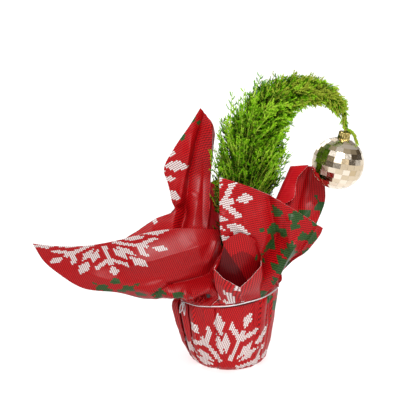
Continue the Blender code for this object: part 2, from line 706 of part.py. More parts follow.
def make_tie():
    """The elastic round the wrap, its knot and the two small loops of its bow."""
    radius = TIE_RADIUS + 1.5 * GAP + TIE_CORD_RADIUS
    turns = np.linspace(0.0, 2.0 * math.pi, 36, endpoint=False)
    ring = np.stack((radius * np.cos(turns), radius * np.sin(turns), tie_height(turns) - TIE_DROP), axis=1)
    rod("tie_cord", ring, [TIE_CORD_RADIUS] * len(ring), 4, CORD_SILVER, closed=True)
    azimuth = math.radians(BOW_AZIMUTH)
    outward = Vector((math.cos(azimuth), math.sin(azimuth), 0.0))
    aside = Vector((-math.sin(azimuth), math.cos(azimuth), 0.0))
    knot_radius = 1.7 * MM
    centre = outward * (radius + TIE_CORD_RADIUS + GAP + knot_radius)
    centre.z = tie_height(azimuth) - TIE_DROP
    bead = bpy.data.meshes.new("tie_knot")
    shape = bmesh.new()
    bmesh.ops.create_uvsphere(shape, u_segments=10, v_segments=6, radius=knot_radius)
    shape.to_mesh(bead)
    shape.free()
    place("tie_knot", bead, CORD_SILVER).location = centre
    for side, name in ((-1.0, "tie_loop_left"), (1.0, "tie_loop_right")):
        hang = (outward * 0.15 + aside * side * 0.42 - Vector((0.0, 0.0, 1.0))).normalized()
        wide = hang.cross(outward).normalized()
        top = centre + hang * (knot_radius + GAP + TIE_CORD_RADIUS)
        angles = np.linspace(0.0, 2.0 * math.pi, 14, endpoint=False)
        drop = [top + hang * BOW_LOOP_LENGTH * (1.0 - math.cos(t)) / 2
                + wide * BOW_LOOP_WIDTH / 2 * math.sin(t) * math.sin(t / 2) ** 0.5 for t in angles]
        rod(name, drop, [TIE_CORD_RADIUS * 0.8] * len(drop), 4, CORD_SILVER, closed=True)


make_pot()
make_leader()
make_crown()
make_ball()
make_wrap()
make_tie()
bpy.data.collections.remove(PIECES)
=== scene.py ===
# A potted cypress whose top bends over under a mirrored ball, wrapped in film printed like knitting.
# Metres, +Z up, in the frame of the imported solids; the front faces -Y.
import math

import bmesh
import bpy
import numpy as np
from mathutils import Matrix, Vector


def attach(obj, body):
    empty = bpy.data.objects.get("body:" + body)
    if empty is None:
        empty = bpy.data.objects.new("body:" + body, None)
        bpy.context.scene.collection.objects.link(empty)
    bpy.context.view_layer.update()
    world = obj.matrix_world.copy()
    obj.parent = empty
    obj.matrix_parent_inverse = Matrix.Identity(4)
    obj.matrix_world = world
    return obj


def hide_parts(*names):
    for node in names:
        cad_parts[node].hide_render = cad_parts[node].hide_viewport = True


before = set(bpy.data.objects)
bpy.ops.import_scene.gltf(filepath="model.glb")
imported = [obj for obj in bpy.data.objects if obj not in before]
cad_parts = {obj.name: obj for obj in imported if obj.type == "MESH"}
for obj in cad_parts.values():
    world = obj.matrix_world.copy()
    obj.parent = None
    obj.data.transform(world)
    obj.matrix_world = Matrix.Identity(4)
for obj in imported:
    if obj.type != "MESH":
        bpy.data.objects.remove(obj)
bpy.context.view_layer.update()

MM = 0.001
TURN = 2.0 * math.pi
X_AXIS, Y_AXIS, Z_AXIS = np.eye(3)
LEVEL = X_AXIS + Y_AXIS

# Pot and wrap
POT_FOOT_RADIUS = 41.0 * MM
POT_BODY_RADIUS = 53.0 * MM
POT_RIM_RADIUS = 56.5 * MM
POT_RIM_HEIGHT = 9.0 * MM
POT_WALL = 1.2 * MM
POT_FOOT = 1.1 * MM
POT_FLOOR = 3.1 * MM
POT_LIP = 0.4 * MM
POT_TOP = 99.0 * MM
POT_STEP = POT_TOP - POT_RIM_HEIGHT
POT_STEPS = 160
SOIL_TOP = 89.0 * MM
SOIL_FOOT = 70.0 * MM
SOIL_EDGE_HEIGHT = 86.0 * MM
TIE_RADIUS = 58.0 * MM
TIE_HEIGHT = 88.0 * MM
TIE_TILT = 7.5 * MM
TIE_DROP = 1.6 * MM
TIE_CORD_RADIUS = 0.7 * MM
BOW_AZIMUTH = 212.0
KNOT_TURNS = 3.0
KNOT_STEPS = 90
KNOT_CORD_RADIUS = 0.55 * MM
LOOP_LENGTH = 13.0 * MM
LOOP_CORD_RADIUS = 0.5 * MM
FILM = 0.3 * MM
FILM_UNDER_TIE = 58.2 * MM

# Leader and crown
LEADER_LENGTH = 332.0 * MM
LEADER_LEAN = 9.0
LEADER_DROOP = 175.0
BEND_START = 170.0 * MM
BEND_POWER = 1.35
TRUNK_END = 200.0 * MM
ARCH_END = 270.0 * MM
LEADER_STATIONS = np.array((0.0, 8.0, 100.0, 200.0, 270.0, 332.0)) * MM
LEADER_RADII = np.array((6.6, 4.8, 3.9, 2.4, 1.5, 0.8)) * MM
ROOT_FLARE = 2.6 * MM
CROWN_STATIONS = np.array((0.0, 20.0, 56.0, 110.0, 155.0, 190.0, 220.0, 245.0, 270.0, 310.0, 332.0)) * MM
CROWN_REACH = np.array((24.0, 30.0, 36.0, 41.0, 42.0, 37.0, 30.0, 20.0, 14.5, 6.5, 3.0)) * MM
LEVEL_STATIONS = np.array((4.0, 38.0, 76.0, 114.0, 152.0, 190.0, 226.0, 258.0, 304.0)) * MM
LEVEL_SLOPES = np.array((0.5, 1.3, 1.6, 1.6, 1.6, 1.6, 1.7, 1.9, 2.0))
LEVEL_SECTORS = (2, 3, 3, 3, 2, 2, 2, 3)
INNER_TWIGS = (70, 64, 70, 64, 80, 70, 54, 16)
LEVEL_TWIGS = (56, 54, 60, 58, 74, 68, 58, 30)
LEVEL_TURN = 38.0
CROWN_FULLEST = 143.0 * MM
WRAP_MOUTH = 112.0 * MM
NOTCH_STATION = 187.0 * MM
UPRIGHT_END = 215.0 * MM
BOUGH_LEVELS = 3
BOUGH_REACH = 9.0 * MM
SIDE_SHOOTS = 8
SIDE_SHOOT_LENGTH = 11.0 * MM
TIP_SHOOTS = 330
NEEDLE_SPIRAL = 2.39996
NEEDLE_HALF_WIDTH = 0.23
STEM_RADIUS = 0.50 * MM

# The end of the drooping tip, through the wire loop and past the cap: millimetres out, to the front and up
# along the ball's own axes
TIP_HOOK = ((-2.8, 0, 46), (-1.2, 0, 42.2), (2.4, 1, 40.4), (7.4, 3, 38.4), (11.4, 6, 33.6),
            (14.6, 8.6, 28.4))
TIP_RADII = np.array((1.5, 1.0, 0.5)) * MM
TIP_STEPS = 120

# Hanging ball
BALL_RADIUS = 30.0 * MM
BALL_CENTRE = np.array((123.9, 0.0, 237.2)) * MM
BALL_LEAN = 10.6
BALL_SEGMENTS = 22
BALL_BANDS = 14
BALL_TOP_OPEN = 8.0
BALL_FOOT_OPEN = 6.0
TILE_TILT = 0.016
TILE_WIDTH = 0.988
TILE_INSET = 0.006
TILE_THICKNESS = 0.8 * MM
GROUT_DEPTH = 0.55 * MM
CAP_FLUTES = 18
CAP_FLUTE_DEPTH = 0.045
WIRE_RADIUS = 0.5 * MM

# The cap and the wire loop in millimetres: the cap's top above the ball's centre, the loop's radius,
# and the cap's profile of (radius, height)
CAP_TOP = 37.5
WIRE_LOOP_RADIUS = 3.4
CAP_PROFILE = ((0, CAP_TOP), (3.2, CAP_TOP), (5.6, 37.2), (6.6, 36.3), (6.8, 35.3), (6.5, 34.5),
               (6.7, 31), (7, 28.8), (7, 28), (6.2, 28), (0, 29))

# Camera and lights
CAMERA_TARGET = (-0.0243, 0.0, 0.184)
CAMERA_RISE = 15.5
CAMERA_DISTANCE = 1.2
CAMERA_LENS = 90.0
LIGHT_TARGET = (0.0, 0.0, 0.15)
FLOOR_HALF = 14.0

MASSES = ["foliage_%d_%d" % (level + 1, sector + 1)
          for level, count in enumerate(LEVEL_SECTORS) for sector in range(count)]


def make_camera():
    """The camera looks a little down on the front, through a long lens."""
    rise = math.radians(CAMERA_RISE)
    back = Vector((0.0, -math.cos(rise), math.sin(rise)))
    lens = bpy.data.cameras.new("camera")
    lens.lens = CAMERA_LENS
    lens.sensor_width = 36.0
    lens.clip_start = 0.05
    lens.clip_end = 60.0
    camera = bpy.data.objects.new("camera", lens)
    camera.location = Vector(CAMERA_TARGET) + back * CAMERA_DISTANCE
    camera.rotation_euler = (-back).to_track_quat("-Z", "Y").to_euler()
    bpy.context.scene.collection.objects.link(camera)
    bpy.context.scene.camera = camera


# Nodes

class Term:
    """A value that differs over the surface. Sums, products and the like of terms add their nodes."""

    def __init__(self, works, socket):
        self.works = works
        self.socket = socket

    def __add__(self, other):
        return self.works.math("ADD", self, other)

    def __sub__(self, other):
        return self.works.math("SUBTRACT", self, other)

    def __rsub__(self, other):
        return self.works.math("SUBTRACT", other, self)

    def __mul__(self, other):
        return self.works.math("MULTIPLY", self, other)

    def __truediv__(self, other):
        return self.works.math("DIVIDE", self, other)

    def __abs__(self):
        return self.works.math("ABSOLUTE", self)

    def __lt__(self, limit):
        return self.works.math("LESS_THAN", self, limit)


class Works:
    """The shader nodes of one material or of the world; each call gives back a node's output."""

    def __init__(self, name, world=False):
        owners, shader = (bpy.data.worlds, "Background") if world else (bpy.data.materials, "Principled BSDF")
        self.owner = owners.new(name)
        self.owner.use_nodes = True
        self.nodes = self.owner.node_tree.nodes
        self.links = self.owner.node_tree.links
        self.shader = self.nodes[shader]

    def feed(self, socket, term):
        """A socket takes a term, or a plain number or colour."""
        if isinstance(term, Term):
            self.links.new(term.socket, socket)
        elif isinstance(term, tuple):
            socket.default_value = (*term, 1.0)
        else:
            socket.default_value = term

    def add(self, kind, sockets, output=0, **settings):
        """A node of a kind with its settings, and what each socket takes, by number or name."""
        node = self.nodes.new("ShaderNode" + kind)
        for name, value in settings.items():
            setattr(node, name, value)
        for key, term in sockets.items():
            self.feed(node.inputs[key], term)
        return Term(self, node.outputs[output])

    def math(self, operation, *terms):
        """One operation on the terms, such as their product."""
        return self.add("Math", dict(enumerate(terms)), operation=operation)

    def most(self, *terms):
        """The greatest of the terms."""
        total = terms[0]
        for term in terms[1:]:
            total = self.math("MAXIMUM", total, term)
        return total

    def ease(self, term, low, high, start=0.0, end=1.0):
        """A smooth step of the term from start at low to end at high."""
        return self.add("MapRange", dict(enumerate((term, low, high, start, end))),
                        interpolation_type="SMOOTHSTEP")

    def mix(self, share, first, second):
        """The first colour where the share is 0, the second where it is 1."""
        return self.add("Mix", {0: share, 6: first, 7: second}, 2, data_type="RGBA")

    def tones(self, term, low, high, first, second):
        """The first colour where the term is at low, easing to the second at high."""
        return self.mix(self.ease(term, low, high), first, second)

    def layout(self, name):
        """One of the piece's flat layouts."""
        return self.add("UVMap", {}, uv_map=name)

    def apart(self, vector):
        """The x, y and z of a vector."""
        node = self.nodes.new("ShaderNodeSeparateXYZ")
        self.feed(node.inputs[0], vector)
        return [Term(self, output) for output in node.outputs]

    def noise(self, scale, detail=3.0, roughness=0.55, over=None):
        """Noise over the place on the piece, or over a flat layout."""
        return self.add("TexNoise", {"Vector": over or self.add("TexCoord", {}, "Object"), "Scale": scale,
                                     "Detail": detail, "Roughness": roughness})

    def cells(self, scale):
        """How far the nearest of many scattered points is."""
        return self.add("TexVoronoi", {"Vector": self.add("TexCoord", {}, "Object"), "Scale": scale})

    def bump(self, height, distance, strength):
        """Fine relief, as if a height of 1 rose by the distance."""
        relief = self.add("Bump", {"Strength": strength, "Distance": distance, "Height": height})
        self.feed(self.shader.inputs["Normal"], relief)

    def set(self, **sockets):
        """Sockets of the shader by name, with _ for each space."""
        for name, term in sockets.items():
            self.feed(self.shader.inputs[name.replace("_", " ")], term)
        return self.owner


# Printed film: stitch sizes, repeat and star in millimetres and degrees, and the dyes
STITCH_WIDTH = 2.6
STITCH_HEIGHT = 2.2
STITCH_SLANT = 0.34
REPEAT = 230.0
STAR_TURN = 58.0
STAR_SIZE = 1.07
STAR_LEAF_TURN = 23.0
# Each rhombus: how far out its middle is, its half length and its half width
STAR_TIP = (63.0, 9.0, 6.2)
STAR_LEAF = (33.0, 15.0, 5.0)
STAR_FAR = (58.0, 15.0, 6.6)
LONG_LEAF = (19.0, 15.0, 8.0)
SHORT_LEAF = (32.0, 11.0, 6.0)
STAR_SHAFT = (32.0, 19.0, 2.7)
# The branch: where it forks off, its slant, its half width and how far off the arm it runs
STAR_BRANCH = (40.0, 0.8, 3.8, 17.0)
# The two stars of a sprig: their shift and their turn
SPRIG_STARS = ((0.0, 0.0, 20.0), (34.0, 40.0, 62.0))
LEAF_WAVE = 0.5
LEAF_RAGGED = 2.6
RED = (0.46, 0.003, 0.005)
RED_WORN = (0.52, 0.005, 0.008)
RED_GAP = (0.09, 0.0, 0.001)
RED_SHADE = (0.03, 0.0, 0.001)
WHITE_STITCH = (0.74, 0.67, 0.65)
WHITE_GAP = (0.20, 0.05, 0.05)
GREEN_STITCH = (0.027, 0.088, 0.018)
GREEN_GAP = (0.004, 0.028, 0.008)


def rhombus(along, across, centre, half_length, half_width):
    """1 inside a rhombus: |along - centre| / half length + across / half width is under 1."""
    return abs(along - centre) / half_length + across / half_width < 1.0


def folded(works, x, y, arms, turn):
    """Polar coordinates folded on one arm of a star: how far out along the arm and off it, and the same
    for the line midway between two arms."""
    radius = works.math("SQRT", x * x + y * y)
    angle = works.math("ARCTAN2", y, x) + math.radians(turn)
    off = works.math("PINGPONG", angle + TURN, math.pi / arms)
    between = math.pi / arms - off
    return [radius * works.math(part, swing) for swing in (off, between) for part in ("COSINE", "SINE")]


def snow_star(works, x, y):
    """1 on a six-armed star. Each arm is a shaft with a rhombus at its tip, a branch that forks off at a
    slant and a slim rhombus turned off it, and one more rhombus lies midway between two arms."""
    along, off, middle, beside = (term / STAR_SIZE for term in folded(works, x, y, 6, -STAR_TURN))
    centre, half_length, half_width = STAR_SHAFT
    shaft = (off < half_width) * (abs(along - centre) < half_length)
    fork, slant, half_width, reach = STAR_BRANCH
    branch = (abs(along - fork - off * slant) < half_width) * (off < reach)
    sine, cosine = math.sin(math.radians(STAR_LEAF_TURN)), math.cos(math.radians(STAR_LEAF_TURN))
    leaf = rhombus(along * cosine + off * sine, abs(off * cosine - along * sine), *STAR_LEAF)
    return works.most(shaft, rhombus(along, off, *STAR_TIP), branch, leaf, rhombus(middle, beside, *STAR_FAR))


def leaf_sprig(works, x, y):
    """1 on a sprig: two stars of four long and four short leaves, side by side, whose edges swell and
    shrink by a sine along the leaf."""
    leaves = []
    for shift_x, shift_y, turn in SPRIG_STARS:
        along, off, middle, beside = folded(works, x + shift_x, y + shift_y, 4, turn)
        ragged = works.math("SINE", along * LEAF_WAVE) * LEAF_RAGGED
        leaves.append(rhombus(along, off + ragged, *LONG_LEAF))
        leaves.append(rhombus(middle, beside + ragged, *SHORT_LEAF))
    return works.most(*leaves)


def film_print(name="printed_film", shade=1.0):
    """Glossy film printed as knitting. The flat sheet, in millimetres, is divided into columns and
    rows of slanting stitches, and each motif is asked for once per stitch, so its edges are stepped.
    A shade under 1 paints shade over it in soft patches, darkening film as if it hung in shade."""
    works = Works(name)
    sheet = works.layout("sheet")
    x, y = (part * 1000.0 for part in works.apart(sheet)[:2])
    shift_x, shift_y = (part * 1000.0 for part in works.apart(works.layout("leaves"))[:2])
    across = x / STITCH_WIDTH
    column = works.math("FLOOR", across)
    lean = abs(across - column - 0.5)
    up = y / STITCH_HEIGHT + lean * (2 * STITCH_SLANT)
    row = works.math("FLOOR", up)
    rise = up - row
    stitch_x = (column + 0.5) * STITCH_WIDTH
    stitch_y = row * STITCH_HEIGHT

    def wrapped(term):
        """How far the nearest motif's centre is along one way; they come once per repeat."""
        return works.math("FLOORED_MODULO", term + REPEAT / 2, REPEAT) - REPEAT / 2

    star = snow_star(works, wrapped(stitch_x), wrapped(stitch_y))
    sprig = leaf_sprig(works, wrapped(stitch_x + shift_x), wrapped(stitch_y + shift_y))
    thread = works.math("MINIMUM", works.ease(rise, 0.14, 0.46), works.ease(rise, 1.0, 0.84))
    thread = works.math("MINIMUM", thread, works.ease(lean, 0.5, 0.38, 0.35, 1.0))
    wear = works.noise(34.0, 2.0, over=sheet)
    red = works.mix(thread, RED_GAP, works.mix(wear, RED, RED_WORN))
    white = works.mix(thread, WHITE_GAP, WHITE_STITCH)
    green = works.mix(thread, GREEN_GAP, GREEN_STITCH)
    colour = works.mix(star, works.mix(sprig, red, green), white)
    # Painted shade: soft patches darken the film towards RED_SHADE.
    if shade < 1.0:
        patches = works.ease(works.noise(40.0, 2.0), 0.3, 0.7, 1.0 - shade, 0.9 - 0.9 * shade)
        colour = works.mix(patches, colour, RED_SHADE)
    works.bump(thread, 0.02 * MM, 0.3)
    return works.set(Base_Color=colour, Roughness=0.37, Specular_IOR_Level=0.19)


def film_reverse():
    """The film's unprinted side: paler, with the columns of the print showing through."""
    works = Works("film_reverse")
    sheet = works.layout("sheet")
    x = works.apart(sheet)[0]
    ribs = works.math("PINGPONG", x * (1000.0 / STITCH_WIDTH), 0.5)
    veil = works.noise(26.0, over=sheet)
    colour = works.tones(ribs, 0.0, 0.3, (0.44, 0.005, 0.010), (0.54, 0.009, 0.016))
    colour = works.tones(veil, 0.45, 0.75, colour, (0.60, 0.030, 0.042))
    works.bump(ribs, 0.02 * MM, 0.2)
    return works.set(Base_Color=colour, Roughness=0.26, Specular_IOR_Level=0.3)


def film_edge():
    """The cut edge of the film, painted pale as the highlight that runs along a film's edge."""
    works = Works("film_edge")
    colour = works.mix(works.noise(420.0, 2.0), (0.60, 0.30, 0.28), (0.86, 0.74, 0.70))
    return works.set(Base_Color=colour, Roughness=0.45)


# Other finishes

def bark_finish():
    """Brown bark with a fine grain, and paler flakes."""
    works = Works("cypress_bark")
    grain = works.noise(260.0, 5.0, 0.65)
    colour = works.tones(grain, 0.35, 0.65, (0.09, 0.045, 0.022), (0.30, 0.19, 0.10))
    colour = works.tones(works.cells(150.0), 0.1, 0.8, colour, (0.20, 0.14, 0.07))
    works.bump(grain, 0.5 * MM, 0.7)
    return works.set(Base_Color=colour, Roughness=0.85)


def twig_finish():
    """Young green bark."""
    works = Works("green_twig")
    colour = works.mix(works.noise(300.0), (0.30, 0.46, 0.02), (0.54, 0.70, 0.07))
    return works.set(Base_Color=colour, Roughness=0.6)


def leaf_finish(name, colour):
    """One plain green; neighbouring shoots are dealt different ones."""
    return Works(name).set(Base_Color=colour, Roughness=0.7, Specular_IOR_Level=0.06)


def pot_finish():
    """Black moulded plastic under a little dust, which dulls it."""
    works = Works("pot_plastic")
    dust = works.noise(90.0, 5.0)
    colour = works.tones(dust, 0.4, 0.75, (0.018, 0.018, 0.019), (0.07, 0.06, 0.05))
    works.bump(works.noise(900.0, 2.0), 0.04 * MM, 0.4)
    return works.set(Base_Color=colour, Roughness=works.ease(dust, 0.2, 0.8, 0.38, 0.62))


def compost_finish():
    """Dark crumbs with paler fibres."""
    works = Works("compost")
    crumb = works.cells(340.0)
    fibre = works.noise(700.0, 6.0, 0.7)
    colour = works.tones(crumb, 0.0, 0.7, (0.012, 0.007, 0.004), (0.065, 0.036, 0.018))
    colour = works.tones(fibre, 0.55, 0.75, colour, (0.13, 0.085, 0.045))
    works.bump(crumb + fibre, 1.2 * MM, 0.9)
    return works.set(Base_Color=colour, Roughness=0.92)


def elastic_finish():
    """Braided elastic: a fine twill along the cord."""
    works = Works("silver_elastic")
    x, y, _ = works.apart(works.layout("sheet"))
    braid = works.math("PINGPONG", x * 1400.0 + y * 4.0, 0.5)
    colour = works.tones(braid, 0.05, 0.35, (0.34, 0.34, 0.35), (0.86, 0.86, 0.87))
    works.bump(braid, 0.15 * MM, 0.8)
    return works.set(Base_Color=colour, Roughness=0.3, Metallic=0.35)


def mirror_finish():
    """Mirror tiles: each has its own shade of champagne, and a faint haze of fine scratches."""
    works = Works("champagne_mirror")
    shade = works.add("Attribute", {}, "Fac", attribute_name="tile_shade")
    haze = works.noise(420.0, 4.0)
    works.bump(haze, 0.01 * MM, 0.25)
    return works.set(Base_Color=works.mix(shade, (0.48, 0.36, 0.20), (0.86, 0.77, 0.65)), Metallic=1.0,
                     Roughness=works.ease(haze, 0.3, 0.8, 0.12, 0.24))


def grout_finish():
    """Dull metallic grout between the tiles."""
    works = Works("tile_grout")
    colour = works.mix(works.noise(260.0), (0.30, 0.24, 0.18), (0.50, 0.43, 0.35))
    return works.set(Base_Color=colour, Metallic=0.8, Roughness=0.4)


def gold_finish():
    """Bright gold with dark tarnish, which dulls it."""
    works = Works("gold_cap")
    tarnish = works.noise(260.0, 4.0)
    colour = works.tones(tarnish, 0.35, 0.7, (0.66, 0.52, 0.20), (0.22, 0.16, 0.04))
    works.bump(works.noise(900.0), 0.12 * MM, 0.4)
    return works.set(Base_Color=colour, Metallic=1.0, Roughness=works.ease(tarnish, 0.2, 0.8, 0.08, 0.22))


def floor_finish():
    """A matt, nearly white floor."""
    works = Works("pale_floor")
    colour = works.mix(works.noise(2.0), (0.92, 0.92, 0.92), (0.95, 0.95, 0.95))
    return works.set(Base_Color=colour, Roughness=0.6)


# Shapes over whole arrays

def ramp(value, run):
    """Straight from 0 at nothing to 1 at the run, and level on both sides."""
    return np.clip(value / run, 0.0, 1.0)


def bell(value, width):
    """1 at nothing, falling on both sides as e to minus the square of value / width."""
    return np.exp(-(value / width) ** 2)


def onset(value, run):
    """0 at nothing, nearing 1 as 1 - e to minus value / run."""
    return 1.0 - np.exp(-value / run)


def unit(vectors):
    """Vectors brought to a length of 1."""
    return vectors / np.maximum(np.linalg.norm(vectors, axis=-1, keepdims=True), 1e-12)


def round_axis(radius, turn, height):
    """Places at a radius, turn and height round the Z axis."""
    return np.stack(np.broadcast_arrays(radius * np.cos(turn), radius * np.sin(turn), height), axis=-1)


def swung(one, other, turn):
    """From one vector towards another square to it: its cosine of the turn plus the other's sine."""
    return np.cos(turn)[..., None] * one + np.sin(turn)[..., None] * other


def along_path(path):
    """The length of a path up to each of its points."""
    return np.concatenate(([0.0], np.cumsum(np.linalg.norm(np.diff(path, axis=0), axis=1))))


def smooth_noise(points, seed, size, count=14):
    """A smooth random height at each point: a sum of sine waves of random direction and phase,
    whose lengths lie around the given size."""
    draw = np.random.default_rng(seed)
    total = np.zeros(points.shape[:-1])
    for _ in range(count):
        way = draw.normal(size=points.shape[-1])
        way = way / np.linalg.norm(way) * TURN / (size * draw.uniform(0.6, 1.6))
        total = total + np.sin(points @ way + draw.uniform(0.0, TURN))
    return total / math.sqrt(count)


def surface_normals(grid):
    """Unit normals of a grid of points, from the cross product of its two ways."""
    return unit(np.cross(np.gradient(grid, axis=1), np.gradient(grid, axis=0)))


# Meshes and pieces

def new_piece(name, mesh, finishes, nodes, smooth=True):
    """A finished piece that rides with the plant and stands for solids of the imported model."""
    for finish in finishes:
        mesh.materials.append(finish)
    mesh.polygons.foreach_set("use_smooth", np.full(len(mesh.polygons), smooth))
    mesh.update()
    piece = bpy.data.objects.new(name, mesh)
    bpy.context.scene.collection.objects.link(piece)
    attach(piece, "root")
    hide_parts(*nodes)
    return piece


def mesh_of(name, points, faces):
    """A mesh from an array of points and an array of equal faces."""
    points = np.asarray(points, dtype=np.float32).reshape(-1, 3)
    faces = np.asarray(faces, dtype=np.int32)
    count, sides = faces.shape
    mesh = bpy.data.meshes.new(name)
    mesh.vertices.add(len(points))
    mesh.vertices.foreach_set("co", points.ravel())
    mesh.loops.add(count * sides)
    mesh.loops.foreach_set("vertex_index", faces.ravel())
    mesh.polygons.add(count)
    mesh.polygons.foreach_set("loop_start", np.arange(0, count * sides, sides, dtype=np.int32))
    mesh.update(calc_edges=True)
    mesh.validate()
    return mesh


def grid_faces(rows, columns, ring=False):
    """Faces of a grid whose rows follow one another; a ring also joins the last column to the first."""
    row, column = np.meshgrid(np.arange(rows - 1), np.arange(columns if ring else columns - 1), indexing="ij")
    after = (column + 1) % columns
    return np.stack((row * columns + column, row * columns + after, (row + 1) * columns + after,
                     (row + 1) * columns + column), axis=-1).reshape(-1, 4)


def repeated(faces, count, corners):
    """The same faces for each of many small forms."""
    return (faces[None] + corners * np.arange(count)[:, None, None]).reshape(-1, faces.shape[1])


def lay_out(mesh, sheet, name="sheet"):
    """The flat layout of a mesh, given as one place for each vertex."""
    corner = np.empty(len(mesh.loops), dtype=np.int32)
    mesh.loops.foreach_get("vertex_index", corner)
    layer = mesh.uv_layers.new(name=name)
    layer.data.foreach_set("uv", np.asarray(sheet, dtype=np.float32).reshape(-1, 2)[corner].ravel())


def weld(mesh, distance=0.002 * MM):
    """Joins points closer than the distance, as at seams and poles."""
    shape = bmesh.new()
    shape.from_mesh(mesh)
    bmesh.ops.remove_doubles(shape, verts=shape.verts, dist=distance)
    shape.to_mesh(mesh)
    shape.free()
    mesh.update()


def turned_mesh(name, profile, steps, flutes=0, depth=0.0, pose=None):
    """A closed profile of (radius, height) from its top down its outer side, carried round the Z axis;
    flutes push each radius in and out by a cosine of the turn, and a pose moves the places."""
    profile = np.array(profile)
    turn = np.linspace(0.0, TURN, steps, endpoint=False)
    radius = profile[:, 0, None] * (1.0 + depth * np.cos(flutes * turn)[None, :])
    points = round_axis(radius, turn, profile[:, 1, None])
    if pose is not None:
        points = pose(points)
    mesh = mesh_of(name, points, grid_faces(len(profile), steps, ring=True)[:, ::-1])
    weld(mesh)
    return mesh


def tube_mesh(name, path, radii, sides=12, closed=False, relief=None):
    """A ring of points carried along a path, each ring square to the path; its two ends are closed by
    rings that shrink to the path. The relief, if any, adds to the radius at (along, around)."""
    path = np.asarray(path, dtype=float)
    count = len(path)
    if closed:
        ahead = unit(np.roll(path, -1, axis=0) - np.roll(path, 1, axis=0))
    else:
        ahead = unit(np.gradient(path, axis=0))
    side = np.empty_like(ahead)
    guess = Y_AXIS if abs(ahead[0][1]) < 0.9 else X_AXIS
    for index in range(count):
        guess = guess - ahead[index] * (guess @ ahead[index])
        guess = guess / np.linalg.norm(guess)
        side[index] = guess
    turn = np.linspace(0.0, TURN, sides, endpoint=False)
    radii = np.broadcast_to(np.asarray(radii, dtype=float), (count,))
    radius = np.repeat(radii[:, None], sides, axis=1)
    if relief is not None:
        radius = radius + relief
    ring = path[:, None] + radius[..., None] * swung(side[:, None], np.cross(ahead, side)[:, None], turn)
    sheet = np.stack(np.broadcast_arrays(along_path(path)[:, None], (turn / TURN)[None]), axis=-1)
    if closed:
        faces = grid_faces(count + 1, sides, ring=True) % (count * sides)
    else:
        ends = [np.broadcast_to(path[end], (1, sides, 3)) for end in (0, -1)]
        ring = np.concatenate((ends[0], ring, ends[1]))
        sheet = np.concatenate((sheet[:1], sheet, sheet[-1:]))
        faces = grid_faces(count + 2, sides, ring=True)
    mesh = mesh_of(name, ring, faces)
    lay_out(mesh, sheet)
    return mesh


def new_tube(name, path, radii, sides, finish, node, slot, **shape):
    """A piece that is one tube."""
    return new_piece(name, tube_mesh(name, path, radii, sides, **shape), (finish,), [node])


# Wrap

# Pleats of the cup: azimuth, half width in degrees, and how far each stands out in mm
PLEATS = ((188, 9, 15), (207, 6, 7), (222, 6, 3.5), (164, 9, 6), (138, 8, 4), (108, 10, 6), (80, 8, 3.5),
          (48, 10, 5), (14, 9, 2), (340, 8, 2.5), (312, 7, 2), (272, 9, 1.2))
# Narrow tucks between them, which start under the tie and run out on the way down: azimuth, half width in
# degrees, how far each stands out in mm and the share of the way down at which it fades
TUCKS = ((178, 2.2, -9, 0.9), (226, 1.6, 3, 0.5), (240, 1.8, 1.8, 0.35), (253, 1.4, -3, 1),
         (262, 1.5, 1.6, 0.4), (286, 1.8, 1.8, 0.4), (298, 2, 2.2, 0.45), (319, 1.6, -5, 0.8),
         (330, 1.8, 2.4, 0.6), (352, 1.8, 1.6, 0.4), (5, 2, -1.6, 0.5), (30, 2.2, 2, 0.6),
         (64, 2.4, -2.4, 0.7), (95, 2.4, 2.2, 0.6), (122, 2.2, -2.2, 0.6), (150, 2.4, 2.4, 0.7))
# An overlapping fold with a sharp left edge: its azimuth, width in degrees, height in mm and run
LAP_AZIMUTH, LAP_WIDTH, LAP_HEIGHT, LAP_RUN = 307.0, 20.0, 4.5, 0.7
# Deep folds beside the bow that run straight back: azimuth, half width in degrees, depth in mm and run
BACK_FOLDS = ((198.5, 2.8, 11, 1.3), (217.5, 2, 9, 0.75))
CUP_HEIGHTS = np.array((0.0, 5.0, 24.0, 54.0, 76.0, 85.0, 88.0)) * MM
CUP_RADII = np.array((41.0, 45.6, 50.4, 54.4, 56.8, 57.9, 58.0)) * MM
CUP_FREE = 86.5 * MM
CUP_STEPS = 640
CUP_RISES = 70
CUP_SEAM = 90.0
CUP_UNROLLED_RADIUS = 57.0 * MM
CUP_FOOT_SHARES = np.array((0.0, 0.35, 0.7, 0.88, 0.965))
CUP_STAR = (-4.0 * MM, -55.0 * MM, 2.0 * MM)
CUP_SPRIG = (58.0 * MM, -8.0 * MM, 84.0 * MM)
CUP_PRINT_TURN = 110.0


def tie_height(azimuth):
    """The tie runs round the pot a little higher on the +X side."""
    return TIE_HEIGHT + TIE_TILT * np.cos(azimuth)


def swing_from(azimuth, centre):
    """Degrees past a centre, the short way round."""
    return (np.degrees(azimuth) - centre + 180.0) % 360.0 - 180.0


def tuck_at(azimuth, centre, half_width):
    """A tent across the cup: 1 at its centre, straight down to 0 at the half width in degrees."""
    return np.maximum(0.0, 1.0 - np.abs(swing_from(azimuth, centre)) / half_width)


def below_tie(height):
    """How far down the cup's free film a height lies: 0 under the tie, 1 at the foot."""
    return ramp(CUP_FREE - height, CUP_FREE)


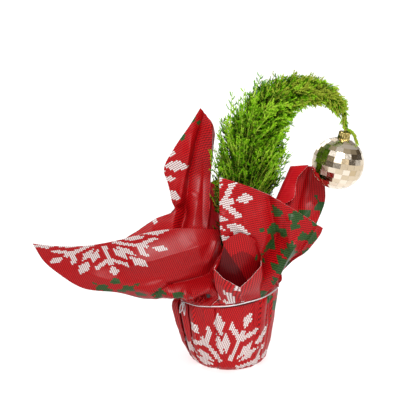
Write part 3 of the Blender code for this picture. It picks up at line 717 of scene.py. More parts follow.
def cup_stand(azimuth, height):
    """How far the cup's film stands out of its turned form: broad pleats that widen below the tie and
    fade to the foot, narrow tucks, a lap, and ripples that gather the foot."""
    share = below_tie(height)
    fade = onset(share, 0.06) * (1.0 - share)
    total = np.zeros(np.broadcast(azimuth, height).shape)
    for centre, half_width, depth in PLEATS:
        total = total + depth * np.exp(-np.abs(swing_from(azimuth, centre) / half_width) ** 1.6) * fade
    for centre, half_width, depth, run in TUCKS:
        tuck = tuck_at(azimuth, centre, half_width * (1.0 + 0.8 * share))
        total = total + depth * tuck * onset(share, 0.04) * bell(share, run)
    past = swing_from(azimuth, LAP_AZIMUTH)
    lap = ramp(LAP_WIDTH - past, LAP_WIDTH) * ramp(past + 0.9, 0.9)
    total = total + LAP_HEIGHT * lap * onset(share, 0.05) * bell(share, LAP_RUN)
    ripples = 0.9 * np.sin(azimuth * 31.0 + 2.0 * np.sin(azimuth * 5.0))
    return (total + bell(height, 7.0 * MM) * ripples * ramp(height, 2.0 * MM)) * MM


def beside_line(sheet, start, way):
    """How far each place of a sheet lies along a line and across from it."""
    away = sheet - start
    return away @ way, away @ np.array((-way[1], way[0]))


def creases(sheet, seed, count, height, spread):
    """Straight creases in film: each is a low tent along a random line, which fades along it."""
    draw = np.random.default_rng(seed)
    low, high = sheet.reshape(-1, 2).min(axis=0), sheet.reshape(-1, 2).max(axis=0)
    total = np.zeros(sheet.shape[:-1])
    for _ in range(count):
        angle = draw.uniform(0.0, math.pi)
        centre = low + (high - low) * draw.uniform(0.0, 1.0, 2)
        along, across = beside_line(sheet, centre, np.array((math.cos(angle), math.sin(angle))))
        width = spread * draw.uniform(0.5, 1.5)
        tent = np.maximum(0.0, width - np.abs(across)) / width
        run = spread * draw.uniform(2.0, 5.0)
        total = total + draw.uniform(-1.0, 1.0) * tent * bell(along, run)
    return total * height


def turned_sheet(sheet, degrees):
    """A flat layout turned about its start."""
    turn = math.radians(degrees)
    return sheet @ np.array(((math.cos(turn), math.sin(turn)), (-math.sin(turn), math.cos(turn))))


def add_film(name, surface, sheet, marks, turn, closer, finishes, ring=False):
    """The piece of a sheet of film over a grid of points. Its flat layout counts from the first mark, a
    star of the print, turned by some degrees and with its rows some times closer. A second layout gives
    the way from there to the second mark, a sprig. The film has its thickness on its inner side, with
    its own reverse and cut edge."""
    star, sprig = marks
    scale = np.array((1.0, closer))
    mesh = mesh_of(name + "_film", surface, grid_faces(len(surface), surface.shape[1], ring))
    lay_out(mesh, turned_sheet((sheet - star) * scale, turn))
    lay_out(mesh, np.broadcast_to(turned_sheet((star - sprig) * scale, turn), sheet.shape), "leaves")
    if name == "wrap_cup":
        weld(mesh)
    piece = new_piece(name + "_film", mesh, finishes, [name])
    wall = piece.modifiers.new("film", "SOLIDIFY")
    wall.thickness = FILM
    wall.offset = -1.0
    wall.material_offset = 1
    wall.material_offset_rim = 2
    return piece


def unrolled(place):
    """A place on the cup's flat layout, unrolled from its seam at the back."""
    turn = math.atan2(place[1], place[0])
    while turn < math.radians(CUP_SEAM):
        turn += TURN
    return np.array((turn * CUP_UNROLLED_RADIUS, place[2]))


def make_cup(finishes):
    """The cup of film: a radius for each azimuth and height round the pot, moved straight back in the
    deep folds beside the bow, then its flat underside to the middle."""
    azimuth = math.radians(CUP_SEAM) + np.linspace(0.0, TURN, CUP_STEPS + 1)
    height = np.linspace(0.0, 1.0, CUP_RISES) ** 1.15 * (TIE_HEIGHT + 1.5 * MM)
    turn, level = np.meshgrid(azimuth, height)
    sheet = np.stack((turn * CUP_UNROLLED_RADIUS, level), axis=-1)
    crease = creases(sheet, seed=5, count=110, height=0.9 * MM, spread=9.0 * MM)
    radius = np.interp(level, CUP_HEIGHTS, CUP_RADII) + cup_stand(turn, level)
    radius = radius + crease * ramp(level, 12.0 * MM) * ramp(TIE_HEIGHT - level, 5.0 * MM)
    z = np.where(level > 3.0 * MM, level * tie_height(turn) / TIE_HEIGHT, level)
    wall = round_axis(radius, turn, z)
    share = below_tie(level)
    for centre, half_width, depth, run in BACK_FOLDS:
        fade = onset(share, 0.05) * bell(share, run) * ramp(1.0 - share, 0.1)
        wall[..., 1] += depth * MM * tuck_at(turn, centre, half_width) * fade
    shares = CUP_FOOT_SHARES[:, None]
    foot = wall[:1] * LEVEL * shares[..., None]
    under = np.stack(np.broadcast_arrays(sheet[0, :, 0], (shares - 1.0) * POT_FOOT_RADIUS), axis=-1)
    add_film("wrap_cup", np.concatenate((foot, wall)), np.concatenate((under, sheet)),
             (unrolled(CUP_STAR), unrolled(CUP_SPRIG)), CUP_PRINT_TURN, 1.0, finishes)


# Petals of film above the tie. Each starts on an arc of the tie's ring: two azimuths, and whether it lies
# in the outer layer. It climbs through rows of two ends, the way its middle bellies and, where they do,
# the way its halves sway, in millimetres
PETALS = {
    "wrap_wing": ((198.0, 250.0, True), (
        ((-68, -42, 93), (-8, -62, 102), (0, -3, 0)),
        ((-92, -54, 93), (-8, -61, 112), (0, -5, 0)),
        ((-127, -64, 104), (-8, -57, 124), (0, -5, 0)),
        ((-164, -66, 110), (-8, -52, 138), (0, -5, 0)),
        ((-192, -65, 128), (-9, -48, 150), (0, -6, 2), (0, 0, -2)),
        ((-207, -62, 141), (-10, -44, 160), (0, -9, 3), (0, 0, -4)),
        ((-218, -60, 160), (-11, -40, 170), (0, -12, 2), (0, 0, -6)))),
    "wrap_front": ((244.0, 341.0, False), (
        ((-8, -60, 110), (57, -36, 110), (3, -10, 0)),
        ((-4, -62, 130), (71, -50, 131), (2, -6, 0)),
        ((-6, -62, 152), (85, -61, 150), (0, -2, 0)),
        ((-11, -64, 177), (95, -67, 166), (0, 0, 2), (0, 1, 0)),
        ((-12, -62, 207), (99, -69, 174), (0, 2, 4), (0, 2, 0)),
        ((-12, -58, 235), (101, -70, 181), (0, 3, 6), (0, 2, 0)))),
    "wrap_tall": ((186.0, 234.0, False), (
        ((-122, -17, 148), (-40, -42, 108), (0, -4, 0)),
        ((-104, -11, 161), (-32, -30, 128), (0, -4, 0)),
        ((-84, -5, 173), (-26, -14, 150), (0, -4, 0)),
        ((-63, 0, 182), (-22, 2, 168), (0, -5, 0)),
        ((-66, 1, 191), (-21, 10, 182), (0, -6, 0)),
        ((-70, 4, 210), (-22, 18, 200), (0, -6, 0)),
        ((-75, 6, 227), (-23, 24, 218), (0, -6, 0)),
        ((-63, 8, 253), (-18, 25, 246), (0, -6, 0)),
        ((-45, 12, 279), (-17, 22, 272), (0, -4, 0)),
        ((-33, 15, 298), (-25, 17, 290), (0, -1, 0)))),
    "wrap_rolled": ((344.0, 382.0, False), (
        ((56, 4, 120), (76, 8, 120), (4, -3, 0)),
        ((53, 14, 140), (92, 12, 140), (4, -5, 0)),
        ((55, 22, 165), (106, 24, 163), (2, -7, 0)),
        ((62, 29, 187), (114, 32, 184), (0, -6, 0)),
        ((70, 32, 206), (114, 34, 203), (0, -4, 0)),
        ((78, 36, 225), (112, 38, 222), (0, -2, 2)))),
    "wrap_back": ((26.0, 112.0, False), (
        ((82, 34, 122), (-26, 74, 126), (4, 6, 0)),
        ((66, 64, 160), (-36, 80, 160), (3, 6, 0)),
        ((26, 84, 188), (-36, 83, 186), (0, 3, 0)),
        ((6, 90, 199), (-14, 89, 196), (0, 0, 0)))),
    "wrap_left": ((104.0, 182.0, False), (
        ((-16, 76, 122), (-82, 10, 116), (-5, 5, 0)),
        ((-30, 82, 150), (-84, 38, 144), (-5, 5, 0)),
        ((-52, 78, 172), (-60, 72, 170), (0, 0, 0)))),
}

# Folds of each petal: two ends, each as shares across and up, then the height and half width in mm
FOLDS = {
    "wrap_wing": ((1, 0.72, 0.88, 0.46, -9, 10), (0.9, 0.48, 0.48, 0.4, -11, 15),
                  (0.5, 0.41, 0.22, 0.34, -8, 12), (0.92, 0.85, 0.4, 0.75, 8, 24),
                  (0.86, 0.32, 0.56, 0.28, 10, 11), (0.8, 0.08, 0.62, 0.2, -8, 7),
                  (0.66, 0.04, 0.5, 0.3, 6, 8), (0.34, 0.2, 0.16, 0.75, 4, 16),
                  (0.98, 0.9, 0.9, 0.6, 4, 8)),
    "wrap_front": ((0.46, 1.02, 0.6, 0.62, -10, 14), (0.6, 0.64, 0.48, 0.02, -14, 13),
                   (0.95, 1, 0.9, 0.12, 3.4, 3.4), (0, 0.8, 0.3, 0.66, 3, 12), (0.8, 0.66, 0.7, 0.1, 9, 10),
                   (0.2, 1, 0.26, 0.7, 3, 12), (0.24, 0, 0.24, 0.5, -12, 32), (0.94, 0.5, 0.8, 0.04, -9, 8),
                   (0.7, 0.9, 0.74, 0.6, 5, 9)),
    "wrap_tall": ((0.66, 0.98, 0.62, 0.34, -10, 12), (0.16, 0.54, 0.6, 0.62, 4, 12),
                  (0.2, 0.36, 0.95, 0.42, 3.5, 12), (0.9, 0.95, 0.92, 0.5, 6, 6),
                  (0.3, 0.86, 0.24, 0.56, 4, 9), (0.4, 0.6, 0.55, 0.1, -6, 9)),
    "wrap_rolled": ((0.46, 1, 0.4, 0.6, -4, 9), (0.8, 0.7, 0.4, 0.5, 3, 8), (0.6, 0.04, 0.5, 0.5, -4, 7)),
    "wrap_back": ((0.35, 0.05, 0.4, 0.8, -6, 12), (0.65, 0.05, 0.6, 0.9, 5, 12)),
    "wrap_left": ((0.4, 0.05, 0.45, 0.8, 6, 12), (0.75, 0.05, 0.6, 0.7, -5, 9)),
}

# The print on each petal: the places of a star and of a sprig near the film, in mm, how far the knitting
# is turned, and how much closer its rows lie up the petal
PRINT = {
    "wrap_wing": ((-143, -62, 165), (-82, -62, 91), 76.0, 1.9),
    "wrap_front": ((-50, -62, 199), (68, -60, 172), -12.0, 1.0),
    "wrap_tall": ((-122, 0, 232), (-55, 10, 350), -32.0, 1.0),
    "wrap_rolled": ((190, 30, 290), (152, 30, 122), 96.0, 1.0),
    "wrap_back": ((30, 88, 160), (-40, 80, 180), 12.0, 1.0),
    "wrap_left": ((-70, 60, 120), (-40, 70, 160), -15.0, 1.0),
    "wrap_pocket": ((-25, -80, 60), (-60, -60, 200), -100.0, 1.0),
}

# The pocket's rim in mm, from its low front point round its left side: it is a cornet cut at a slant
POCKET_RIM = ((11, -84, 117), (-7, -82, 126), (-18, -76, 136), (-11, -71, 147), (-8, -69, 157),
              (-7, -69, 166), (2, -69, 172), (11, -69, 175.5), (20, -69, 172), (27, -69, 166),
              (31, -69, 159), (34, -70, 150), (34, -74, 139), (24, -79.5, 128.5))
POCKET_AZIMUTH = 282.0
POCKET_HALF = 22.5
POCKET_GIRTH = 130.0 * MM

# The tongue of film rolled over at the left of its petal: its length in mm by the place up the petal
ROLL_PLACES = np.array((0.0, 0.50, 0.62, 0.66, 0.69, 0.72, 0.76, 0.80, 0.85, 0.90, 0.95, 1.0))
ROLL_LENGTHS = np.array((0.3, 0.3, 12.0, 23.0, 29.0, 32.0, 32.5, 30.0, 26.5, 26.0, 29.0, 33.0))

PETAL_RISES = 170
PETAL_COLUMNS = 140
ROLL_RADIUS = 5.0 * MM
ROLL_STEPS = 46
ROLL_PAST_HALF = 0.06 * math.pi
POCKET_RISES = 60
POCKET_COLUMNS = 280
TUCKED = 4.0 * MM


def through(rows, samples):
    """A smooth curve or surface through rows of points: cubic between neighbouring rows, with each slope
    taken from the rows on both sides and spaced by their mean distance."""
    steps = np.linalg.norm(np.diff(rows, axis=0), axis=-1).reshape(len(rows) - 1, -1).mean(axis=1)
    knots = np.concatenate(([0.0], np.cumsum(steps)))
    slope = np.gradient(rows, knots, axis=0)
    place = np.linspace(0.0, knots[-1], samples)
    first = np.clip(np.searchsorted(knots, place, side="right") - 1, 0, len(rows) - 2)
    run = knots[first + 1] - knots[first]
    t = ((place - knots[first]) / run).reshape((samples,) + (1,) * (rows.ndim - 1))
    run = run.reshape(t.shape)
    return ((2 * t ** 3 - 3 * t ** 2 + 1) * rows[first] + (t ** 3 - 2 * t ** 2 + t) * run * slope[first]
            + (3 * t ** 2 - 2 * t ** 3) * rows[first + 1] + (t ** 3 - t ** 2) * run * slope[first + 1])


def petal_surface(base, rows):
    """A petal from its arc on the tie's ring through its rows. Across a row the points run from end to
    end and bulge by half a sine wave, and sway by a whole one."""
    start, end, outside = base
    share = np.linspace(0.0, 1.0, PETAL_COLUMNS)
    azimuth = np.radians(start + (end - start) * share)
    radius = TIE_RADIUS + (2.2 * MM if outside else 0.9 * MM)
    lines = [round_axis(radius, azimuth, tie_height(azimuth))]
    for left, right, belly, *sways in rows:
        line = np.array(left) + np.outer(share, np.subtract(right, left))
        line = line + np.outer(np.sin(math.pi * share), belly)
        for sway in sways:
            line = line + np.outer(np.sin(TURN * share), sway)
        lines.append(line * MM)
    return through(np.array(lines), PETAL_RISES)


def folded_film(sheet, folds):
    """Straight folds: each is a ridge or a valley along a line between two places of the petal, sharp at
    the line and easing out on both sides and at its ends."""
    rises, columns = sheet.shape[:2]
    total = np.zeros((rises, columns))
    for *places, height, half_width in folds:
        start, end = (sheet[int(round(np.clip(up, 0, 1) * (rises - 1))), int(round(across * (columns - 1)))]
                      for across, up in (places[:2], places[2:]))
        run = np.linalg.norm(end - start)
        along, across = beside_line(sheet, start, (end - start) / run)
        along = along / run
        tent = ramp(half_width * MM - np.abs(across), half_width * MM) ** 1.5
        total = total + height * MM * tent * ramp(along + 0.12, 0.24) * ramp(1.12 - along, 0.24)
    return total


def gathers(height, share, seed, count, depth):
    """Folds that radiate from the tie: narrow tents across the petal that start just above the tie,
    widen and die out within a few centimetres of film."""
    draw = np.random.default_rng(seed)
    total = np.zeros(height.shape)
    for _ in range(count):
        centre = draw.uniform(0.0, 1.0)
        width = draw.uniform(0.02, 0.06)
        run = draw.uniform(8.0, 34.0) * MM
        sign = draw.choice((-1.0, 1.0))
        tent = np.maximum(0.0, 1.0 - np.abs(share - centre) / (width * (0.7 + 25.0 * height)))
        total = total + sign * tent * onset(height, 4.0 * MM) * bell(height, run)
    return total * depth


def plane_of(surface):
    """The middle plane of a petal: across is level, and up is square to it in the plane."""
    normal = unit(surface_normals(surface).reshape(-1, 3).mean(axis=0))
    across = unit(np.cross(Z_AXIS, normal))
    return across, np.cross(normal, across)


def curl(surface, sheet, normals, lengths):
    """The film beyond a petal's left edge, rolled forward: half a turn of the roll's radius, then flat
    over the petal's face, for the given length at each row. Gives the strip's points and flat layout."""
    outward = unit(surface[:, 0] - surface[:, 4])
    run = lengths[:, None] * np.linspace(1.0, 0.0, ROLL_STEPS)[None, :-1]
    radius = np.minimum(ROLL_RADIUS, lengths / 4.5)[:, None]
    bend = math.pi + ROLL_PAST_HALF
    angle = np.minimum(run / radius, bend)
    over = np.maximum(run - bend * radius, 0.0)
    out = radius * np.sin(angle) - over * math.cos(ROLL_PAST_HALF)
    lift = radius * (1.0 - np.cos(angle)) + over * 0.10
    strip = surface[:, :1] + outward[:, None] * out[..., None] + normals[:, 2][:, None] * lift[..., None]
    return strip, sheet[:, :1] - np.stack((run, np.zeros_like(run)), axis=-1)


def add_petal(name, surface, sheet, across, up, finishes, ring=False):
    """The piece of one petal; the marks of its print are places near the film."""
    *marks, turn, closer = PRINT[name]
    marks = [np.array((np.array(mark) * MM @ across, np.array(mark) * MM @ up)) for mark in marks]
    return add_film(name, surface, sheet, marks, turn, closer, finishes, ring)


def make_petal(name, base, rows, finishes, seed):
    """A petal: its surface moved along its normals by gathers above the tie, folds, small creases and a
    slow flutter that grows towards its free edge. Its foot is tucked under the tie."""
    surface = petal_surface(base, rows)
    rise, share = np.meshgrid(np.linspace(0.0, 1.0, PETAL_RISES), np.linspace(0.0, 1.0, PETAL_COLUMNS),
                              indexing="ij")
    across, up = plane_of(surface)
    sheet = np.stack((surface @ across, surface @ up), axis=-1)
    above = rise * np.linalg.norm(np.diff(surface, axis=0), axis=-1).mean(axis=1).sum()
    free = ramp(above, 14.0 * MM)
    out = gathers(above, share, seed, count=20, depth=2.2 * MM)
    out = out + ramp(above, 6.0 * MM) * folded_film(sheet, FOLDS[name])
    out = out + free * creases(sheet, seed + 50, count=40, height=0.9 * MM, spread=13.0 * MM)
    out = out + free * 0.8 * MM * rise * smooth_noise(sheet, seed + 90, size=60.0 * MM, count=6)
    normals = surface_normals(surface)
    if name == "wrap_rolled":
        surface = surface + normals * (out * ramp(share, 0.15))[..., None]
        strip, flat = curl(surface, sheet, normals, np.interp(rise[:, 0], ROLL_PLACES, ROLL_LENGTHS) * MM)
        surface = np.concatenate((strip, surface), axis=1)
        sheet = np.concatenate((flat, sheet), axis=1)
    else:
        surface = surface + normals * out[..., None]
    foot = surface[:1]
    hidden = unit(foot * LEVEL) * FILM_UNDER_TIE + Z_AXIS * (foot[..., 2:] - TUCKED)
    surface = np.concatenate((hidden, surface))
    sheet = np.concatenate((sheet[:1] - np.array((0.0, TUCKED)), sheet))
    add_petal(name, surface, sheet, across, up, finishes)


def sampled(place, knots, values):
    """Values of a line of points at places between its knots."""
    return np.stack([np.interp(place, knots, values[:, axis]) for axis in range(3)], axis=1)


def make_pocket(finishes, inside):
    """The pocket: a closed cornet of film from the tie to its slanting rim, with its sides bulging and
    its back drawn further out. Faces at its back and left take the finishes inside, three at a time:
    outer side, inner side and rim. Below the arch of print those inner sides carry painted shade."""
    knots = np.arange(len(POCKET_RIM) + 1) / len(POCKET_RIM)
    place = np.arange(POCKET_COLUMNS) / POCKET_COLUMNS
    top = sampled(place, knots, np.array(POCKET_RIM + POCKET_RIM[:1]) * MM)
    azimuth = np.radians(POCKET_AZIMUTH - POCKET_HALF * np.sin(TURN * place))
    radius = TIE_RADIUS + 2.6 * MM + 0.6 * MM * np.cos(TURN * place)
    foot = round_axis(radius, azimuth, tie_height(azimuth) + 1.8 * MM)
    rise = np.linspace(0.0, 1.0, POCKET_RISES)[:, None, None]
    surface = foot + (top - foot) * rise
    centre = surface.mean(axis=1, keepdims=True)
    away = surface - centre
    surface = surface + (0.16 * away + 0.8 * np.clip(away, 0.0, None) * Y_AXIS) * np.sin(math.pi * rise)
    sheet = np.stack((np.broadcast_to(place * POCKET_GIRTH, surface.shape[:2]), surface[..., 2]), axis=-1)
    out = creases(sheet, seed=77, count=34, height=1.2 * MM, spread=9.0 * MM)
    surface = surface + unit((surface - centre) * LEVEL) * out[..., None] * rise
    tucked = surface[:1] * (FILM_UNDER_TIE / radius)[None, :, None]
    tucked[..., 2] = surface[:1, :, 2] - 2.0 * MM
    surface = np.concatenate((tucked - Z_AXIS * TUCKED, tucked, surface))
    sheet = np.concatenate([sheet[:1] - np.array((0.0, drop)) for drop in (7.0 * MM, 3.0 * MM)] + [sheet])
    first = len(finishes)
    piece = add_petal("wrap_pocket", surface[:, ::-1], sheet[:, ::-1], X_AXIS, Z_AXIS, finishes + inside,
                      ring=True)
    turn = 1.0 - (np.arange(POCKET_COLUMNS) + 0.5) / POCKET_COLUMNS
    up = np.linspace(0.0, 1.0, POCKET_RISES + 1)[:, None]
    # By shares round the pocket and up it: its back, the arch of print at the back's top, and its left
    behind = np.abs(turn - 0.5) < 0.33
    arch = up > 0.72 - 0.5 * np.abs(turn - 0.52)
    left = (turn < 0.34 + 0.30 * (1.0 - up)) & (turn > 0.06) & (up < 0.90)
    # Below the arch the back's inner side takes half painted shade, and the left's inner side deep painted
    # shade.
    kinds = np.where(behind, np.where(arch, first, first + 2), 0)
    kinds = np.where(left, first + 4, kinds)
    piece.data.polygons.foreach_set("material_index", kinds.ravel().astype(np.int32))


def make_wrap():
    """The cup, the petals, of which two are darkened by painted shade, and the pocket, whose inside is
    printed at the back of its mouth, with painted shade below that, and deep painted shade at the left."""
    shown, hidden, cut = film_print(), film_reverse(), film_edge()
    make_cup((shown, hidden, cut))
    # The wing and the front are darkened with painted shade.
    shaded_petals = {"wrap_wing": film_print("wing_film", 0.80), "wrap_front": film_print("front_film", 0.90)}
    for seed, (name, (base, rows)) in enumerate(PETALS.items()):
        make_petal(name, base, rows, (shaded_petals.get(name, shown), hidden, cut), 11 * seed + 3)
    # Painted shade for the pocket's inside: half at the back, deep at the left.
    half_shaded, shaded = film_print("half_shaded_film", 0.50), film_print("shaded_film", 0.14)
    make_pocket((shown, hidden, cut), (shown, shown, shown, half_shaded, shown, shaded, shown))


# Tie

def make_tie():
    """The elastic round the wrap, with a knot of three turns and two hanging loops."""
    finish = elastic_finish()
    turn = np.linspace(0.0, TURN, 220, endpoint=False)
    height = tie_height(turn) - TIE_DROP + 0.25 * MM * np.sin(9.0 * turn)
    ring = round_axis(TIE_RADIUS + 1.1 * MM, turn, height)
    new_tube("tie_elastic", ring, TIE_CORD_RADIUS, 10, finish, "tie_cord", "silver_elastic", closed=True)
    azimuth = math.radians(BOW_AZIMUTH)
    outward = np.array((math.cos(azimuth), math.sin(azimuth), 0.0))
    aside = np.array((-math.sin(azimuth), math.cos(azimuth), 0.0))
    centre = outward * (TIE_RADIUS + 4.0 * MM) + Z_AXIS * (tie_height(azimuth) - TIE_DROP)
    wind = np.linspace(0.0, KNOT_TURNS * TURN, KNOT_STEPS)
    knot = centre + np.outer(np.cos(wind) * 1.3 * MM, outward) - np.outer(np.sin(wind) * 1.5 * MM, Z_AXIS) \
        + np.outer(np.linspace(-1.5, 1.5, KNOT_STEPS) * MM + 0.6 * MM * np.sin(2.3 * wind), aside)
    new_tube("tie_bow_knot", knot, KNOT_CORD_RADIUS, 8, finish, "tie_knot", "silver_elastic")
    turn = np.linspace(0.0, TURN, 60, endpoint=False)
    for side, name in ((-1.0, "tie_loop_left"), (1.0, "tie_loop_right")):
        hang = unit(outward * 0.15 + aside * side * 0.42 - Z_AXIS)
        wide = unit(np.cross(hang, outward))
        loop = centre + hang * 1.4 * MM + np.outer(LOOP_LENGTH * (1.0 - np.cos(turn)) / 2, hang) \
            + np.outer(3.0 * MM * np.sin(turn) * np.abs(np.sin(turn / 2)) ** 0.5, wide) \
            + np.outer(0.8 * MM * np.sin(2.0 * turn), outward)
        new_tube(name + "_elastic", loop, LOOP_CORD_RADIUS, 8, finish, name, "silver_elastic", closed=True)


# Leader

def leader_course():
    """Stations along the leader with their X, Z and angle from upright: it leans from its foot,
    and past the start of the bend the angle grows as a power of the length."""
    step = 0.5 * MM
    station = np.arange(0.0, LEADER_LENGTH + step / 2, step)
    past = np.clip((station - BEND_START) / (LEADER_LENGTH - BEND_START), 0.0, None)
    angle = np.radians(LEADER_LEAN + (LEADER_DROOP - LEADER_LEAN) * past ** BEND_POWER)
    x = np.concatenate(([0.0], np.cumsum(np.sin(angle) * step)[:-1]))
    z = np.concatenate(([0.0], np.cumsum(np.cos(angle) * step)[:-1])) + SOIL_TOP + 0.3 * MM
    return station, x, z, angle


COURSE, COURSE_X, COURSE_Z, COURSE_ANGLE = leader_course()


def leader_radius(station):
    """The leader's radius at a station, straight between the ones listed."""
    return np.interp(station, LEADER_STATIONS, LEADER_RADII)


def crown_reach(station):
    """How far the crown reaches from the leader at a station, straight between the ones listed."""
    return np.interp(station, CROWN_STATIONS, CROWN_REACH)


def crown_point(station, radius=0.0, turn=0.0):
    """The place at a radius from the leader, turned round it from its outer side to the front."""
    angle = np.interp(station, COURSE, COURSE_ANGLE)
    outer = radius * np.cos(turn)
    x = np.interp(station, COURSE, COURSE_X) - outer * np.cos(angle)
    y = -radius * np.sin(turn)
    z = np.interp(station, COURSE, COURSE_Z) + outer * np.sin(angle)
    return np.stack(np.broadcast_arrays(x, y, z), axis=-1)


def crown_coordinates(places):
    """The station, radius and turn of each place, from the nearest point of the leader."""
    away_x = places[:, 0:1] - COURSE_X
    away_z = places[:, 2:3] - COURSE_Z
    nearest = np.argmin(away_x ** 2 + away_z ** 2, axis=1)
    rows = np.arange(len(places))
    angle = COURSE_ANGLE[nearest]
    outer = away_z[rows, nearest] * np.sin(angle) - away_x[rows, nearest] * np.cos(angle)
    front = -places[:, 1]
    return COURSE[nearest], np.hypot(outer, front), np.arctan2(front, outer)


def ball_axes():
    """The ball's own leaning axes: out to +X, to the back, and up."""
    lean = math.radians(BALL_LEAN)
    out = np.array((math.cos(lean), 0.0, -math.sin(lean)))
    up = np.array((math.sin(lean), 0.0, math.cos(lean)))
    return np.stack((out, Y_AXIS, up))


def ball_place(out, front, up):
    """A place given in millimetres along the ball's own axes."""
    return BALL_CENTRE + np.array((out, -front, up)) * MM @ ball_axes()


def bark_relief(length, sides, seed, height):
    """Ridges along a limb: smooth noise that is stretched along it and folded into plates."""
    along, around = np.meshgrid(length, np.linspace(0.0, TURN, sides, endpoint=False), indexing="ij")
    places = np.stack((along * 55.0, np.cos(around) * 2.2, np.sin(around) * 2.2), axis=-1)
    ridge = 1.0 - np.abs(smooth_noise(places, seed, 2.2, 10))
    return height * (ridge - 0.5 + 0.35 * smooth_noise(places * 3.0, seed + 1, 2.0, 8))


def spline_weights(count, samples):
    """Weights of a uniform cubic B-spline whose phantom end points mirror the second through the end."""
    place = np.linspace(0.0, count - 1.0, samples)
    first = np.minimum(place.astype(int), count - 2)
    t = place - first
    parts = np.stack(((1 - t) ** 3, 3 * t ** 3 - 6 * t ** 2 + 4,
                      -3 * t ** 3 + 3 * t ** 2 + 3 * t + 1, t ** 3)) / 6.0
    weights = np.zeros((samples, count + 2))
    rows = np.arange(samples)
    for step in range(4):
        weights[rows, first + step] += parts[step]
    weights[:, 1] += 2.0 * weights[:, 0]
    weights[:, 2] -= weights[:, 0]
    weights[:, -2] += 2.0 * weights[:, -1]
    weights[:, -3] -= weights[:, -1]
    return weights[:, 1:-1]


def tip_path():
    """The drooping tip: down the leader's course, then through the wire loop and past the cap."""
    course = crown_point(np.linspace(ARCH_END - 1.0 * MM, LEADER_LENGTH - 14.0 * MM, 14))
    knots = np.concatenate((course, [ball_place(*place) for place in TIP_HOOK]))
    radii = np.interp(np.linspace(0.0, 1.0, TIP_STEPS), (0.0, 0.6, 1.0), TIP_RADII)
    return spline_weights(len(knots), TIP_STEPS) @ knots, radii


def make_limbs():
    """The trunk from its cut at the compost, the arch and the drooping tip, and the short boughs."""
    bark = bark_finish()
    station = np.linspace(0.0, TRUNK_END, 220)
    radius = leader_radius(station) + ROOT_FLARE * np.exp(-station / (3.5 * MM))
    new_tube("trunk_bark", crown_point(station), radius, 40, bark, "trunk", "bark",
             relief=bark_relief(station, 40, seed=7, height=0.45 * MM))
    station = np.linspace(TRUNK_END - 1.0 * MM, ARCH_END, 100)
    new_tube("arch_bark", crown_point(station), leader_radius(station), 20, bark, "leader_arch", "bark",
             relief=bark_relief(station, 20, seed=8, height=0.2 * MM))
    new_tube("tip_bark", *tip_path(), 12, twig_finish(), "leader_tip", "bark")
    for level in range(BOUGH_LEVELS):
        for sector in range(LEVEL_SECTORS[level]):
            cell = Cell(level, sector)
            start = leader_radius(cell.station(0.5, 5.0 * MM)) * 0.6
            radii = np.linspace(start, BOUGH_REACH + 4.0 * MM, 20)
            path = crown_point(cell.station(0.5, radii), radii, cell.middle)
            name = "bough_%d_%d" % (level + 1, sector + 1)
            new_tube(name + "_bark", path, np.linspace(2.0, 0.9, 20) * MM, 14, bark, name, "bark",
                     relief=bark_relief(radii, 14, seed=20 + 3 * level + sector, height=0.15 * MM))


# Foliage

class Cell:
    """The space of one mass: between two cones, in one sector, from the leader to the crown's reach."""

    def __init__(self, level, sector):
        self.middle = TURN * (sector + 0.5) / LEVEL_SECTORS[level] + math.radians(LEVEL_TURN * level)
        self.half = math.pi / LEVEL_SECTORS[level]
        self.low, self.high = LEVEL_STATIONS[level:level + 2]
        self.low_slope, self.high_slope = LEVEL_SLOPES[level:level + 2]

    def station(self, share, radius):
        """The station at a share of the way from the lower cone to the upper one."""
        low = self.low + self.low_slope * radius
        high = self.high + self.high_slope * radius
        return low + share * (high - low)

    def point(self, share, reach, across):
        """A place by shares: between the cones, of the crown's reach, and across the sector. The radius
        and the reach at its station settle together in a few rounds."""
        turn = self.middle + across * self.half
        radius = np.full(np.shape(reach), CROWN_REACH.min())
        for _ in range(12):
            radius = 0.5 * radius + 0.5 * reach * reach_at(self.station(share, radius), turn)
        return crown_point(self.station(share, radius), radius, turn)


def reach_at(station, turn):
    """The crown's reach, fuller on its outer side at the middle, drawn in there within the wrap, and
    with clumps and hollows over its upright part, from the product of two slanting waves."""
    outer = np.clip(np.cos(turn), 0.0, 1.0)
    full = bell(station - CROWN_FULLEST, 27.0 * MM)
    low = ramp(WRAP_MOUTH - station, 36.0 * MM)
    upright = ramp(UPRIGHT_END - station, 30.0 * MM)
    clumps = np.sin(4.0 * turn + station / (8.0 * MM)) * np.sin(3.0 * turn - station / (11.0 * MM) + 1.0)
    share = 1.0 + 0.08 * full * outer ** 2 - 0.32 * low * outer + 0.12 * upright * clumps
    return crown_reach(station) * share


def outer_reach(station, turn):
    """How far shoots may stand out: a little past the crown's reach, and further on its outer side
    where the growth is loose. On its inner side it is drawn in low down, and in a notch under the arch."""
    loose = ramp(station - 150.0 * MM, 25.0 * MM)
    factor = 1.05 + loose * (0.11 + 0.14 * np.clip(np.cos(turn), 0.0, 1.0) ** 3)
    inner = np.clip(-np.cos(turn), 0.0, 1.0) ** 0.5
    notch = 0.55 * bell(station - NOTCH_STATION, 9.0 * MM)
    factor = factor - inner * (notch + 0.27 * ramp(142.0 * MM - station, 20.0 * MM))
    return factor * reach_at(station, turn) + 1.5 * MM


def side_ways(ahead):
    """Two unit vectors square to each heading and to one another."""
    guess = np.where(np.abs(ahead[:, 1:2]) < 0.8, Y_AXIS, X_AXIS)
    one = unit(np.cross(ahead, guess))
    return one, np.cross(ahead, one)


def along_shoots(shoots, share):
    """Places at a share of each shoot's length: straight on, plus its bend by the square of the share."""
    starts, headings, lengths, bends = shoots
    return starts + headings * (lengths * share)[:, None] + bends * (lengths * share ** 2)[:, None]


